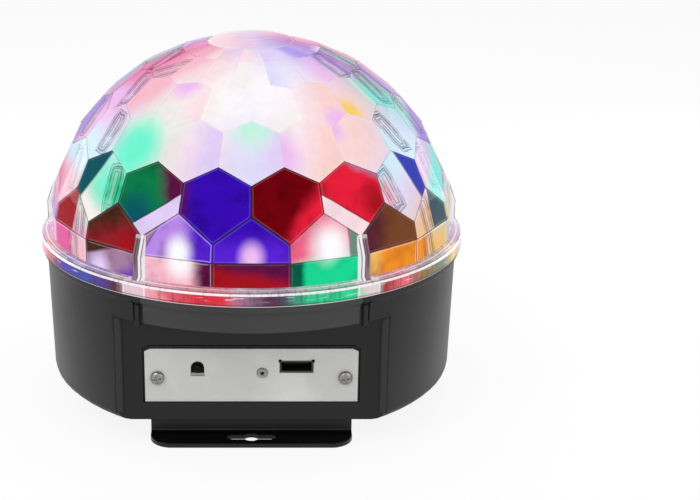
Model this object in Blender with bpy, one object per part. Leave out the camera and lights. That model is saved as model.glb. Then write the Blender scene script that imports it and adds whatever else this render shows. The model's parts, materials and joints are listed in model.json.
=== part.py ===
"""A table or ceiling disco ball light with a faceted clear dome, built piece by piece.

Metres, +Z up. The origin is on the surface that the light stands on, under the dome's axis.
The control panel faces -Y. Every piece is its own object, with its own material.
The inner lens dome turns about the dome's axis, and the speaker's cone slides along its own.
"""

import math

import bmesh
import bpy
from mathutils import Matrix, Vector

# Clearances that every piece shares
GAP = 0.0003  # between two pieces that rest on each other
FIT_GAP = 0.0004  # round a piece that sits in a hole
RUN_GAP = 0.0006  # round a piece that turns
OVERRUN = 0.002  # how far a cutter runs past the face that it opens
SINK = 0.0005  # how far one shape reaches into the shape that it is joined to
SAME_PLACE = 1e-7  # corners closer than this are one corner

# Steps round a full turn
FINE_STEPS = 72
ROUND_STEPS = 36
SMALL_STEPS = 18
SCREW_STEPS = 10
BEND_STEPS = 3
SMOOTH_ANGLE = math.radians(32)

# Mounting bracket: folded steel strip, a flat top with a leg and a slotted flange at each end
BRACKET_HEIGHT = 0.0132
BRACKET_WIDTH = 0.0925
BRACKET_SHEET = 0.002
BRACKET_LEG_SETBACK = 0.0118  # outer face of a leg, behind the flat front
BRACKET_FLANGE = 0.0134
BRACKET_BEND = 0.0012  # inner radius of a fold
BRACKET_CORNER = 0.0105
KEYHOLE_DIAMETER = 0.0074
KEYHOLE_SLOT_LENGTH = 0.0226
KEYHOLE_SLOT_WIDTH = 0.0043
KEYHOLE_FROM_LEG = 0.0066

# Base housing
HOUSING_HEIGHT = 0.0632
HOUSING_WALL = 0.0024
HOUSING_FLOOR = 0.0026
HOUSING_TOP_RADIUS = 0.0988
HOUSING_DRAFT = 0.0014
HOUSING_FILLET = 0.0034
COLLAR_HEIGHT = 0.0127
LIP_OVERHANG = 0.0018
LIP_HEIGHT = 0.0024
LIP_SLOPE = 0.0020
FRONT_SETBACK = 0.0220  # from the housing's round wall to its flat front
FRONT_WALL = 0.0032
EDGE_RIB_WIDTH = 0.0038
EDGE_RIB_RISE = 0.0008
CLIP_COUNT = 6
CLIP_FIRST_ANGLE = math.radians(30)
CLIP_GROOVE_WIDTH = 0.0012
CLIP_GROOVE_DEPTH = 0.0011
CLIP_TAB_WIDTH = 0.0026
CLIP_TAB_MARGIN = 0.0002  # between the tab's side and its groove
CLIP_TAB_DROP = 0.0014
CLIP_TAB_RISE = 0.0008
BOSS_RADIUS = 0.0040
PEG_RADIUS = 0.0032
VENT_COUNT = 6
VENT_WIDTH = 0.0030
VENT_PITCH = 0.0060
VENT_LENGTH = 0.030
VENT_INSET = 0.0324  # middle of a vent, from the housing's wall

# Clear outer dome
DOME_INSET = 0.0015  # from the housing's wall to the middle of a facet
DOME_WALL = 0.0028
DOME_SECTORS = 18
DOME_ROW_LATITUDES = (12.4, 25.0, 40.0, 52.5, 66.0, 75.5)
DOME_ROW_TURNS = (0, 1, 0, 1, 0, 0)  # in half sectors
DOME_SKIRT_STEP = 0.0015
DOME_TOP_STEP = 0.0021
DOME_CAP_SHARE = 0.1973  # of the facets' distance
DOME_CAP_RISE = 0.0030
DOME_CAP_RINGS = 3
DOME_CAP_RING_RISE = 0.0004
FLANGE_OVERHANG = 0.0011
FLANGE_HEIGHT = 0.0068
FLANGE_STEP_WIDTH = 0.0016
FLANGE_STEP_HEIGHT = 0.0016
POST_WIDTH = 0.0052
POST_TOP_SHARE = 0.2700  # of the facets' distance
POST_RISE = 0.0014
POST_TOP_RISE = 0.0003  # the posts run out into the facets there
POST_SETBACK = 0.0017
TONGUE_WIDTH = 0.0042
TONGUE_THICKNESS = 0.0016
TONGUE_LENGTH = 0.0085
TONGUE_INSET = 0.0066  # from the flange's edge to the tongue's outer face
TONGUE_BARB = 0.0007
TONGUE_BARB_HEIGHT = 0.0018

# Control panel, its pocket in the flat front and what shows through it
PANEL_WIDTH = 0.0955
PANEL_HEIGHT = 0.0255
PANEL_SHEET = 0.0012
PANEL_RISE = 0.0087  # lower edge, above the housing's underside
PANEL_CHAMFER_WIDTH = 0.0026
PANEL_CHAMFER_HEIGHT = 0.0012
POCKET_MARGIN = 0.0009
POCKET_TOP_MARGIN = 0.0020
POCKET_DEPTH = 0.0016
WINDOW_WIDTH = 0.0820
WINDOW_HEIGHT = 0.0175
WINDOW_CORNER = 0.0020
PANEL_SCREW_X = 0.0421
PANEL_SCREW_RISE = 0.0117  # above the panel's lower edge
PANEL_BOSS_LENGTH = 0.0060
RECEIVER_X = -0.0241
RECEIVER_RISE = 0.0160
RECEIVER_WIDTH = 0.0052
RECEIVER_HEIGHT = 0.0064
RECEIVER_DEPTH = 0.0052
RECEIVER_BULGE = 0.0018
USB_X = 0.0202
USB_RISE = 0.0169
USB_WIDTH = 0.0144
USB_HEIGHT = 0.0052
USB_DEPTH = 0.0140
USB_SHEET = 0.0004
USB_EAR = 0.0010
TONGUE_PLATE_WIDTH = 0.0106
TONGUE_PLATE_THICKNESS = 0.0014
TONGUE_PLATE_DEPTH = 0.0110
INDICATOR_X = 0.0049
INDICATOR_RISE = 0.0139
INDICATOR_DIAMETER = 0.0042
INDICATOR_DEPTH = 0.0050

# Decoder board, flat behind the panel, with its front edge at the receiver and the indicator
BOARD_SHEET = 0.0016
DECODER_WIDTH = 0.0700
DECODER_DEPTH = 0.0260
DECODER_CHIP_SIZES = ((0.0080, 0.0080, 0.0014), (0.0100, 0.0060, 0.0018), (0.0050, 0.0050, 0.0012))
DECODER_CHIP_SHARES = ((-0.22, 0.20), (0.0, 0.26), (0.20, 0.22))  # of the board's width and depth
DECODER_PEG_X = 0.0270
DECODER_PEG_BACK = 0.0060  # from the board's rear edge

# Driver board on the floor behind the axis, with its transformer and capacitor
DRIVER_WIDTH_SHARE = 0.7598  # of the housing's radius
DRIVER_DEPTH_SHARE = 0.4107
DRIVER_Y_SHARE = 0.4517
DRIVER_RISE = 0.0049  # underside, above the housing's floor
DRIVER_PEG_INSET = 0.0050
TRANSFORMER_CORE = (0.0190, 0.0120, 0.0160)
TRANSFORMER_WINDING = (0.0130, 0.0180, 0.0110)
TRANSFORMER_SHARES = (-0.20, -0.05)
CAPACITOR_DIAMETER = 0.0100
CAPACITOR_HEIGHT = 0.0150
CAPACITOR_ROLL = 0.0007
CAPACITOR_SHARES = (0.12, -0.10)
DRIVER_PART_SIZES = ((0.0090, 0.0060, 0.0060), (0.0060, 0.0100, 0.0050), (0.0120, 0.0050, 0.0080))
DRIVER_PART_SHARES = ((0.32, -0.15), (0.30, 0.20), (0.02, 0.24))

# Power inlet in the rear wall: a two-pin figure-8 socket
INLET_WIDTH = 0.0200
INLET_HEIGHT = 0.0106
INLET_DEPTH = 0.0140
INLET_FLANGE_MARGIN = 0.0024
INLET_FLANGE_SHEET = 0.0013
INLET_RISE = 0.0250  # centre, above the housing's underside
INLET_POCKET_DEPTH = 0.0018
INLET_PAD_MARGIN = 0.0040
INLET_PAD_DEPTH = 0.0032
INLET_CORNER = 0.0030
SOCKET_RADIUS = 0.0040
SOCKET_PITCH = 0.0086
SOCKET_DEPTH = 0.0095
SOCKET_WAIST = 0.0048
PIN_DIAMETER = 0.0024
PIN_LENGTH = 0.0150
PIN_TAIL = 0.0026

# Lamp deck and the stack under it
DECK_CLEARANCE = 0.0038
DECK_SHEET = 0.0020
DECK_DROP = 0.0065  # top face, below the housing's rim
DECK_SCREW_INSET = 0.0106
DECK_SCREW_COUNT = 4
DECK_SCREW_FIRST = math.radians(45)
DECK_SPACER_HEIGHT = 0.0021
LAMP_RING_INSET = 0.0130
LAMP_FIRST_ANGLE = math.radians(30)
STACK_SCREW_COUNT = 3
LAMP_BOARD_INNER_SHARE = 0.5362  # of its outer radius
LAMP_BOARD_CLEARANCE = 0.0046
SINK_SHEET = 0.0030
SINK_FIN_DEPTH = 0.0070
SINK_FIN_WIDTH = 0.0026
SINK_FIN_COUNT = 11
LED_RADIUS = 0.0036
LED_BASE_HEIGHT = 0.0010
LED_BULB_RADIUS = 0.0025
LENS_RADIUS = 0.0104
LENS_HEIGHT = 0.0125
LENS_RIM_HEIGHT = 0.0015
LENS_FOOT_RADIUS = 0.0062
LENS_FOOT_HEIGHT = 0.0014
LENS_CAVITY_RADIUS = 0.0043
LENS_CAVITY_HEIGHT = 0.0060

# Motor, shaft, hub and the inner lens dome that they turn
MOTOR_HEIGHT = 0.0200
MOTOR_ROLL = 0.0012
MOTOR_NOSE_RADIUS = 0.0060
MOTOR_NOSE_HEIGHT = 0.0016
MOTOR_EAR_INSET = 0.0080
MOTOR_EAR_RADIUS = 0.0040
MOTOR_EAR_SHEET = 0.0011
MOTOR_DROP = 0.0083  # the ears' top face, below the deck's underside
SHAFT_RADIUS = 0.0030
SHAFT_SOCKET_DEPTH = 0.0100
ROTOR_CLEARANCE = 0.0105
ROTOR_WALL = 0.0024
ROTOR_SECTORS = 12
ROTOR_ROW_LATITUDES = (9.0, 25.5, 43.0, 61.0)
ROTOR_ROW_TURNS = (0, 1, 0, 1)
ROTOR_TOP_STEP = 0.0030
ROTOR_SKIRT_STEP = 0.0010
ROTOR_RIM_DROP = 0.0030  # below the dome's centre
ROTOR_RIM_WIDTH = 0.0012
ROTOR_RIM_HEIGHT = 0.0022
HUB_FLANGE_RADIUS = 0.0120
HUB_FLANGE_SHEET = 0.0022
HUB_RADIUS = 0.0062
HUB_LENGTH = 0.0150

# Speaker over the slots in the floor
SPEAKER_CLEARANCE = 0.0110
SPEAKER_RADIUS = 0.0200
SPEAKER_RIM_HEIGHT = 0.0034
SPEAKER_RIM_WIDTH = 0.0030
SPEAKER_FLANGE_WIDTH = 0.0016
SPEAKER_DEPTH = 0.0120
SPEAKER_SHEET = 0.0012
SPEAKER_NECK_RADIUS = 0.0125
SPEAKER_COIL_HOLE = 0.0068
MAGNET_RADIUS = 0.0140
MAGNET_HEIGHT = 0.0070
POLE_RADIUS = 0.0042
POLE_LENGTH = 0.0060
CONE_SHEET = 0.0008
CONE_TRAVEL = 0.0008
CONE_NECK_RADIUS = 0.0054
SPEAKER_SLOT_COUNT = 5
SPEAKER_SLOT_WIDTH = 0.0028
SPEAKER_SLOT_PITCH = 0.0056
SPEAKER_SLOT_MARGIN = 0.0050
SPEAKER_SCREW_OFFSET = 0.0036  # from the basket's edge to the screw's axis

# Screws: head radius, head height, shank radius, shank length
PANEL_SCREW = (0.00325, 0.0020, 0.00145, 0.0080)
BRACKET_SCREW = (0.0031, 0.0019, 0.00150, 0.0092)
DECK_SCREW = (0.0029, 0.0018, 0.00140, 0.0080)
STACK_SCREW = (0.0029, 0.0018, 0.00140, 0.0074)
MOTOR_SCREW = (0.0030, 0.0018, 0.00150, 0.0070)
BOARD_SCREW = (0.0026, 0.0016, 0.00125, 0.0060)
ROTOR_SCREW = (0.0036, 0.0020, 0.00150, 0.0090)
SPEAKER_SCREW = (0.0046, 0.0014, 0.00125, 0.0060)
SCREW_SLOT_WIDTH = 0.0007
SCREW_SLOT_LENGTH = 0.0036
SCREW_SLOT_DEPTH = 0.0009

# Finishes: colour, roughness, metallic
BLACK_PLASTIC = ((0.022, 0.022, 0.024), 0.5, 0.0)
BLACK_STEEL = ((0.012, 0.012, 0.013), 0.38, 0.6)
CLEAR_ACRYLIC = ((0.90, 0.86, 0.94), 0.05, 0.0)
LENS_ACRYLIC = ((0.86, 0.80, 0.95), 0.12, 0.0)
SILVER_SHEET = ((0.62, 0.62, 0.60), 0.42, 0.2)
SCREW_STEEL = ((0.50, 0.50, 0.48), 0.3, 1.0)
BRIGHT_STEEL = ((0.62, 0.62, 0.64), 0.25, 1.0)
DARK_PLASTIC = ((0.010, 0.010, 0.012), 0.25, 0.0)
WHITE_PLASTIC = ((0.80, 0.80, 0.78), 0.4, 0.0)
GREEN_BOARD = ((0.02, 0.16, 0.06), 0.45, 0.0)
LAMP_BOARD_WHITE = ((0.78, 0.78, 0.76), 0.35, 0.0)
REFLECTOR = ((0.80, 0.80, 0.82), 0.18, 0.9)
ALUMINIUM = ((0.55, 0.56, 0.57), 0.4, 1.0)
TRANSFORMER_YELLOW = ((0.70, 0.50, 0.08), 0.5, 0.0)
CAPACITOR_SLEEVE = ((0.02, 0.03, 0.09), 0.35, 0.0)
BRASS_PIN = ((0.70, 0.55, 0.25), 0.3, 1.0)
MAGNET_GREY = ((0.10, 0.10, 0.11), 0.5, 0.5)
CONE_PAPER = ((0.03, 0.03, 0.03), 0.8, 0.0)
LED_COLOURS = {
    "red": (0.90, 0.03, 0.03),
    "green": (0.03, 0.80, 0.12),
    "blue": (0.03, 0.08, 0.90),
    "white": (0.90, 0.90, 0.90),
    "violet": (0.45, 0.05, 0.85),
    "amber": (0.95, 0.45, 0.02),
}

# Widths that follow from the sizes above
HOUSING_BOTTOM_RADIUS = HOUSING_TOP_RADIUS - HOUSING_DRAFT
LIP_RADIUS = HOUSING_TOP_RADIUS + LIP_OVERHANG
FRONT_Y = HOUSING_TOP_RADIUS - FRONT_SETBACK
BRACKET_LEG_Y = FRONT_Y - BRACKET_LEG_SETBACK
VENT_X = HOUSING_BOTTOM_RADIUS - VENT_INSET
DOME_FACE_RADIUS = HOUSING_TOP_RADIUS - DOME_INSET
DOME_SKIRT_RADIUS = DOME_FACE_RADIUS - DOME_SKIRT_STEP
DOME_TOP_FACE = DOME_FACE_RADIUS - DOME_TOP_STEP
DOME_CAP_RADIUS = DOME_FACE_RADIUS * DOME_CAP_SHARE
FLANGE_RADIUS = LIP_RADIUS + FLANGE_OVERHANG
POST_TOP = DOME_FACE_RADIUS * POST_TOP_SHARE
POST_FOOT_RADIUS = FLANGE_RADIUS - POST_SETBACK
DRIVER_WIDTH = HOUSING_BOTTOM_RADIUS * DRIVER_WIDTH_SHARE
DRIVER_DEPTH = HOUSING_BOTTOM_RADIUS * DRIVER_DEPTH_SHARE
DRIVER_Y = HOUSING_BOTTOM_RADIUS * DRIVER_Y_SHARE
DRIVER_PEG_X = DRIVER_WIDTH / 2 - DRIVER_PEG_INSET
DRIVER_PEG_Y = DRIVER_Y + DRIVER_DEPTH / 2 - DRIVER_PEG_INSET
DECK_RADIUS = HOUSING_TOP_RADIUS - HOUSING_WALL - DECK_CLEARANCE
DECK_SCREW_RADIUS = DECK_RADIUS - DECK_SCREW_INSET
LAMP_BOARD_OUTER = FRONT_Y - FRONT_WALL - LAMP_BOARD_CLEARANCE
LAMP_BOARD_INNER = LAMP_BOARD_OUTER * LAMP_BOARD_INNER_SHARE
LAMP_RING_RADIUS = LAMP_BOARD_OUTER - LAMP_RING_INSET
MOTOR_EAR_X = LAMP_BOARD_INNER - MOTOR_EAR_INSET
MOTOR_RADIUS = MOTOR_EAR_X - MOTOR_EAR_RADIUS
ROTOR_FACE_RADIUS = DOME_FACE_RADIUS - DOME_WALL - ROTOR_CLEARANCE
ROTOR_TOP_FACE = ROTOR_FACE_RADIUS - ROTOR_TOP_STEP
ROTOR_SKIRT_RADIUS = ROTOR_FACE_RADIUS - ROTOR_SKIRT_STEP
SPEAKER_X = SPEAKER_RADIUS + SPEAKER_CLEARANCE - HOUSING_BOTTOM_RADIUS + HOUSING_WALL

# Heights that follow from the sizes above
HOUSING_Z = BRACKET_HEIGHT + GAP
RIM_Z = HOUSING_Z + HOUSING_HEIGHT
FLOOR_Z = HOUSING_Z + HOUSING_FLOOR
COLLAR_Z = RIM_Z - COLLAR_HEIGHT
DOME_Z = RIM_Z + GAP
DECK_TOP_Z = RIM_Z - DECK_DROP
DECK_UNDER_Z = DECK_TOP_Z - DECK_SHEET
LAMP_BOARD_TOP_Z = DECK_UNDER_Z - DECK_SPACER_HEIGHT - GAP
LAMP_BOARD_Z = LAMP_BOARD_TOP_Z - BOARD_SHEET
SINK_TOP_Z = LAMP_BOARD_Z - GAP
SINK_Z = SINK_TOP_Z - SINK_SHEET - SINK_FIN_DEPTH
LAMP_Z = LAMP_BOARD_TOP_Z + GAP
MOTOR_TOP_Z = DECK_UNDER_Z - MOTOR_DROP
MOTOR_Z = MOTOR_TOP_Z - MOTOR_HEIGHT
ROTOR_INNER_TOP_Z = DOME_Z + ROTOR_TOP_FACE - ROTOR_WALL
HUB_TOP_Z = ROTOR_INNER_TOP_Z - GAP
PANEL_Z = HOUSING_Z + PANEL_RISE
DRIVER_Z = FLOOR_Z + DRIVER_RISE
DRIVER_TOP_Z = DRIVER_Z + BOARD_SHEET
INLET_Z = HOUSING_Z + INLET_RISE

# Turns a shape drawn upright in X and Y, with its depth in Z, to face the front or the back
FRONT_TURN = (math.pi / 2, 0, 0)
BACK_TURN = (math.pi / 2, 0, math.pi)
# Stands a shape drawn in X and Y up in X and Z
PROFILE_TURN = Matrix(((1, 0, 0, 0), (0, 0, 1, 0), (0, 1, 0, 0), (0, 0, 0, 1)))


def clear_scene():
    """Starts from an empty scene."""
    for item in list(bpy.data.objects):
        bpy.data.objects.remove(item, do_unlink=True)


def material(name, finish, clear=0.0, glow=None):
    """A Principled material from a finish: colour, roughness and metallic."""
    colour, roughness, metallic = finish
    made = bpy.data.materials.new(name)
    made.use_nodes = True
    shader = made.node_tree.nodes["Principled BSDF"]
    shader.inputs["Base Color"].default_value = (*colour, 1.0)
    shader.inputs["Roughness"].default_value = roughness
    shader.inputs["Metallic"].default_value = metallic
    shader.inputs["Transmission Weight"].default_value = clear
    if glow:
        shader.inputs["Emission Color"].default_value = (*glow, 1.0)
        shader.inputs["Emission Strength"].default_value = 1.0
    made.diffuse_color = (*colour, 1.0)
    return made


def turn_about_z(angle):
    return Matrix.Rotation(angle, 4, "Z")


def placed(location, turn=(0.0, 0.0, 0.0)):
    """The matrix of a place and three turns, in radians."""
    turned = Matrix.Rotation(turn[0], 4, "X")
    turned = Matrix.Rotation(turn[1], 4, "Y") @ turned
    turned = Matrix.Rotation(turn[2], 4, "Z") @ turned
    return Matrix.Translation(Vector(location)) @ turned


def add_prism(mesh, outline, low, high, matrix=None):
    """Adds the solid that fills an outline in X and Y between two heights."""
    matrix = matrix or Matrix()
    lower = [mesh.verts.new(matrix @ Vector((x, y, low))) for x, y in outline]
    upper = [mesh.verts.new(matrix @ Vector((x, y, high))) for x, y in outline]
    mesh.faces.new(lower)
    mesh.faces.new(upper)
    for index in range(len(outline)):
        after = (index + 1) % len(outline)
        mesh.faces.new((lower[index], lower[after], upper[after], upper[index]))


def add_box(mesh, low, high, matrix=None):
    """Adds a box between two corners."""
    outline = ((low[0], low[1]), (high[0], low[1]), (high[0], high[1]), (low[0], high[1]))
    add_prism(mesh, outline, low[2], high[2], matrix)


def add_turned(mesh, profile, steps, matrix=None, start=0.0, sweep=None):
    """Adds a profile of (radius, height) points turned about Z, all the way or through a sweep.

    A full turn needs its first and last points on the axis, or a profile that closes on itself.
    """
    matrix = matrix or Matrix()
    full = sweep is None
    on_axis = full and profile[0][0] == 0 and profile[-1][0] == 0
    turn = 2 * math.pi if full else sweep
    count = steps if full else steps + 1
    rings = []
    poles = {}
    for step in range(count):
        angle = start + turn * step / steps
        ring = []
        for index, (radius, height) in enumerate(profile):
            if radius == 0:
                if index not in poles:
                    poles[index] = mesh.verts.new(matrix @ Vector((0, 0, height)))
                ring.append(poles[index])
            else:
                point = Vector((radius * math.cos(angle), radius * math.sin(angle), height))
                ring.append(mesh.verts.new(matrix @ point))
        rings.append(ring)
    pairs = len(profile) - 1 if on_axis else len(profile)
    for step in range(steps):
        here, there = rings[step], rings[(step + 1) % count]
        for index in range(pairs):
            after = (index + 1) % len(profile)
            corners = []
            for vertex in (here[index], here[after], there[after], there[index]):
                if vertex not in corners:
                    corners.append(vertex)
            if len(corners) > 2:
                mesh.faces.new(corners)
    if not full:
        mesh.faces.new(rings[0])
        mesh.faces.new(rings[-1])


def arc(centre, radius, first, last, steps):
    """Points along an arc, its two ends included. Angles are in radians."""
    span = last - first
    return [
        (
            centre[0] + radius * math.cos(first + span * step / steps),
            centre[1] + radius * math.sin(first + span * step / steps),
        )
        for step in range(steps + 1)
    ]


def circle(radius, steps, centre=(0.0, 0.0)):
    """A closed round outline."""
    return arc(centre, radius, 0, 2 * math.pi * (steps - 1) / steps, steps - 1)


def rounded_rectangle(width, height, corner, steps, centre=(0.0, 0.0)):
    """A closed outline with round corners."""
    x, y = width / 2 - corner, height / 2 - corner
    points = []
    for quarter, (side_x, side_y) in enumerate(((1, 1), (-1, 1), (-1, -1), (1, -1))):
        middle = (centre[0] + side_x * x, centre[1] + side_y * y)
        first = quarter * math.pi / 2
        points += arc(middle, corner, first, first + math.pi / 2, steps)
    return points


def slot_outline(length, width, steps, centre=(0.0, 0.0)):
    """A closed outline with two round ends, along X."""
    half = (length - width) / 2
    right = arc((centre[0] + half, centre[1]), width / 2, -math.pi / 2, math.pi / 2, steps)
    left = arc((centre[0] - half, centre[1]), width / 2, math.pi / 2, 3 * math.pi / 2, steps)
    return right + left


def finish_mesh(name, mesh):
    """Turns a bmesh of closed bodies into mesh data whose faces point out."""
    bmesh.ops.recalc_face_normals(mesh, faces=mesh.faces[:])
    data = bpy.data.meshes.new(name)
    mesh.to_mesh(data)
    mesh.free()
    return data


def piece(name, mesh, look, location=(0.0, 0.0, 0.0), turn=(0.0, 0.0, 0.0), smooth=True):
    """Makes a node's object from a bmesh or from mesh data that copies share."""
    data = mesh if isinstance(mesh, bpy.types.Mesh) else finish_mesh(name, mesh)
    made = bpy.data.objects.new(name, data)
    bpy.context.scene.collection.objects.link(made)
    made.location = location
    made.rotation_euler = turn
    if not data.materials:
        data.materials.append(look)
    if smooth:
        data.shade_smooth()
        data.set_sharp_from_angle(angle=SMOOTH_ANGLE)
    return made


def hidden(name, mesh):
    """Makes a helper shape that cuts or is joined to a piece, and isn't built itself."""
    helper = bpy.data.objects.new(name, finish_mesh(name, mesh))
    bpy.context.scene.collection.objects.link(helper)
    helper.hide_render = True
    helper.display_type = "WIRE"
    return helper


def combine(target, helper, operation, overlapping=False):
    """Adds a cut or a union. A helper whose own shapes can meet is marked as overlapping."""
    step = target.modifiers.new(helper.name, "BOOLEAN")
    step.operation = operation
    step.object = helper
    step.solver = "EXACT"
    step.use_self = overlapping


def cut(target, name, mesh):
    combine(target, hidden(name, mesh), "DIFFERENCE")


def join(target, name, mesh, overlapping=False):
    combine(target, hidden(name, mesh), "UNION", overlapping)


def settled_mesh(source, name):
    """The mesh of an object with its modifiers applied, for copies that share it."""
    bpy.context.view_layer.update()
    graph = bpy.context.evaluated_depsgraph_get()
    data = bpy.data.meshes.new_from_object(source.evaluated_get(graph))
    data.name = name
    return data


def polar(radius, angle):
    """A place in X and Y, with the angle counted from the front, -Y, towards +X."""
    return radius * math.sin(angle), -radius * math.cos(angle)


def facing(angle):
    """Turns a shape drawn along +X so that it points out at an angle from the front."""
    return turn_about_z(angle - math.pi / 2)


def clip_angles():
    return [CLIP_FIRST_ANGLE + 2 * math.pi * index / CLIP_COUNT for index in range(CLIP_COUNT)]


def screw_mesh(name, size, crossed):
    """A pan head screw, with or without its crossed recess. Its head is up and seats at height zero."""
    head_radius, head_height, shank_radius, shank_length = size
    shoulder = head_height / 2
    profile = [
        (0, -shank_length),
        (shank_radius, -shank_length),
        (shank_radius, 0),
        (head_radius, 0),
        (head_radius, shoulder / 2),
        (head_radius * math.cos(math.pi / 6), shoulder + shoulder / 2),
        (head_radius / 2, head_height),
        (0, head_height),
    ]
    body = bmesh.new()
    add_turned(body, profile, SCREW_STEPS)
    source = piece(name, body, material(name, SCREW_STEEL))
    if not crossed:
        data = source.data
        bpy.data.objects.remove(source)
        return data
    across, along = SCREW_SLOT_WIDTH / 2, min(SCREW_SLOT_LENGTH / 2, head_radius - SCREW_SLOT_WIDTH)
    floor = head_height - SCREW_SLOT_DEPTH
    top = head_height + OVERRUN
    outline = [
        (along, -across), (along, across), (across, across), (across, along),
        (-across, along), (-across, across), (-along, across), (-along, -across),
        (-across, -across), (-across, -along), (across, -along), (across, -across),
    ]
    recess = bmesh.new()
    add_prism(recess, outline, floor, top)
    helper = hidden(name + "_recess", recess)
    combine(source, helper, "DIFFERENCE")
    data = settled_mesh(source, name)
    bpy.data.objects.remove(source)
    bpy.data.objects.remove(helper)
    return data


def place_screws(name, size, seats, crossed=False):
    """Puts one screw at each seat: (suffix, location, turn)."""
    data = screw_mesh(name, size, crossed)
    for suffix, location, turn in seats:
        piece(name + "_" + suffix, data, None, location, turn)


def screw_hole(size):
    return size[2] + FIT_GAP


def build_bracket():
    """The folded steel bracket: top plate, two legs, two slotted flanges with round corners."""
    outer = BRACKET_BEND + BRACKET_SHEET
    tip = BRACKET_LEG_Y + BRACKET_FLANGE
    inner_leg = BRACKET_LEG_Y - BRACKET_SHEET
    top = BRACKET_HEIGHT
    quarter = math.pi / 2
    upper_bend = (BRACKET_LEG_Y - outer, top - outer)
    lower_bend = (BRACKET_LEG_Y + BRACKET_BEND, BRACKET_SHEET + BRACKET_BEND)
    half = [(0, top)]
    half += arc(upper_bend, outer, quarter, 0, BEND_STEPS)
    half += arc(lower_bend, BRACKET_BEND, 2 * quarter, 3 * quarter, BEND_STEPS)
    half += [(tip, BRACKET_SHEET), (tip, 0)]
    half += arc(lower_bend, outer, 3 * quarter, 2 * quarter, BEND_STEPS)
    half += arc(upper_bend, BRACKET_BEND, 0, quarter, BEND_STEPS)
    half += [(0, top - BRACKET_SHEET)]
    mirrored = [(-y, z) for y, z in reversed(half[1:-1])]
    outline = half[:-1] + [half[-1]] + mirrored
    strip = bmesh.new()
    upright = Matrix(((0, 0, 1, 0), (1, 0, 0, 0), (0, 1, 0, 0), (0, 0, 0, 1)))
    add_prism(strip, outline, -BRACKET_WIDTH / 2, BRACKET_WIDTH / 2, upright)
    look = material("mounting_bracket", BLACK_STEEL)
    bracket = piece("mounting_bracket", strip, look)

    plan = bmesh.new()
    corners = rounded_rectangle(BRACKET_WIDTH + GAP, 2 * tip + GAP, BRACKET_CORNER, 2 * BEND_STEPS)
    add_prism(plan, corners, -OVERRUN, top + OVERRUN)
    combine(bracket, hidden("bracket_plan", plan), "INTERSECT")

    holes = bmesh.new()
    for side in (-1, 1):
        middle = (0, side * (BRACKET_LEG_Y + KEYHOLE_FROM_LEG))
        slot = slot_outline(KEYHOLE_SLOT_LENGTH, KEYHOLE_SLOT_WIDTH, BEND_STEPS, middle)
        add_prism(holes, slot, -OVERRUN, BRACKET_SHEET + OVERRUN)
    cut(bracket, "bracket_slots", holes)
    rounds = bmesh.new()
    for side in (-1, 1):
        middle = (0, side * (BRACKET_LEG_Y + KEYHOLE_FROM_LEG))
        head = circle(KEYHOLE_DIAMETER / 2, SMALL_STEPS, middle)
        add_prism(rounds, head, -OVERRUN, BRACKET_SHEET + OVERRUN)
    for x, y in bracket_screw_places():
        hole = circle(screw_hole(BRACKET_SCREW), SCREW_STEPS, (x, y))
        add_prism(rounds, hole, top - BRACKET_SHEET - OVERRUN, top + OVERRUN)
    cut(bracket, "bracket_rounds", rounds)


def bracket_screw_places():
    """Under the two boards' front pegs and the matching places in front of the axis."""
    y = DRIVER_Y - (DRIVER_PEG_Y - DRIVER_Y)
    return [(side_x * DRIVER_PEG_X, side_y * y) for side_x in (-1, 1) for side_y in (-1, 1)]


def housing_profile(inset, floor, top):
    """The housing's wall as (radius, height) points from the axis at the floor to the axis at the top."""
    fillet = HOUSING_FILLET - inset
    lower = HOUSING_BOTTOM_RADIUS - inset
    upper = HOUSING_TOP_RADIUS - inset
    centre = (lower - fillet, floor + fillet)
    points = [(0, floor)]
    points += arc(centre, fillet, -math.pi / 2, 0, BEND_STEPS)
    lip_z = HOUSING_Z + HOUSING_HEIGHT - LIP_HEIGHT
    if inset == 0:
        points += [(upper, lip_z - LIP_SLOPE), (LIP_RADIUS, lip_z), (LIP_RADIUS, top)]
    else:
        points += [(upper, lip_z), (upper, top)]
    points += [(0, top)]
    return points


def rear_pad(margin):
    """Half the width and half the height of the inlet's place in the rear wall, with a margin."""
    return INLET_WIDTH / 2 + margin, INLET_HEIGHT / 2 + margin


def build_housing():
    """The bowl: round wall with a lip, flat front under a collar, floor, bosses and openings."""
    shell = bmesh.new()
    add_turned(shell, housing_profile(0, HOUSING_Z, RIM_Z), FINE_STEPS)
    housing = piece("base_housing", shell, material("base_housing", BLACK_PLASTIC))

    reach = LIP_RADIUS + OVERRUN
    front = bmesh.new()
    add_box(front, (-reach, -reach, HOUSING_Z - OVERRUN), (reach, -FRONT_Y, COLLAR_Z))
    cut(housing, "front_flat", front)

    hollow = bmesh.new()
    add_turned(hollow, housing_profile(HOUSING_WALL, FLOOR_Z, RIM_Z + OVERRUN), FINE_STEPS)
    cavity = hidden("cavity", hollow)
    shelf = bmesh.new()
    inner_front = FRONT_Y - FRONT_WALL
    add_box(shelf, (-reach, -reach, HOUSING_Z - OVERRUN), (reach, -inner_front, COLLAR_Z + HOUSING_WALL))
    shelf_helper = hidden("shelf", shelf)
    combine(cavity, shelf_helper, "DIFFERENCE")
    combine(housing, cavity, "DIFFERENCE")

    join(housing, "edge_ribs", edge_ribs())
    cut(housing, "clip_grooves", clip_grooves())
    join(housing, "clip_tabs", clip_tabs())
    join(housing, "bosses", housing_bosses(), overlapping=True)
    cut(housing, "panel_pocket", panel_pocket())
    cut(housing, "openings", housing_openings())
    cut(housing, "boss_holes", boss_holes())


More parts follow.
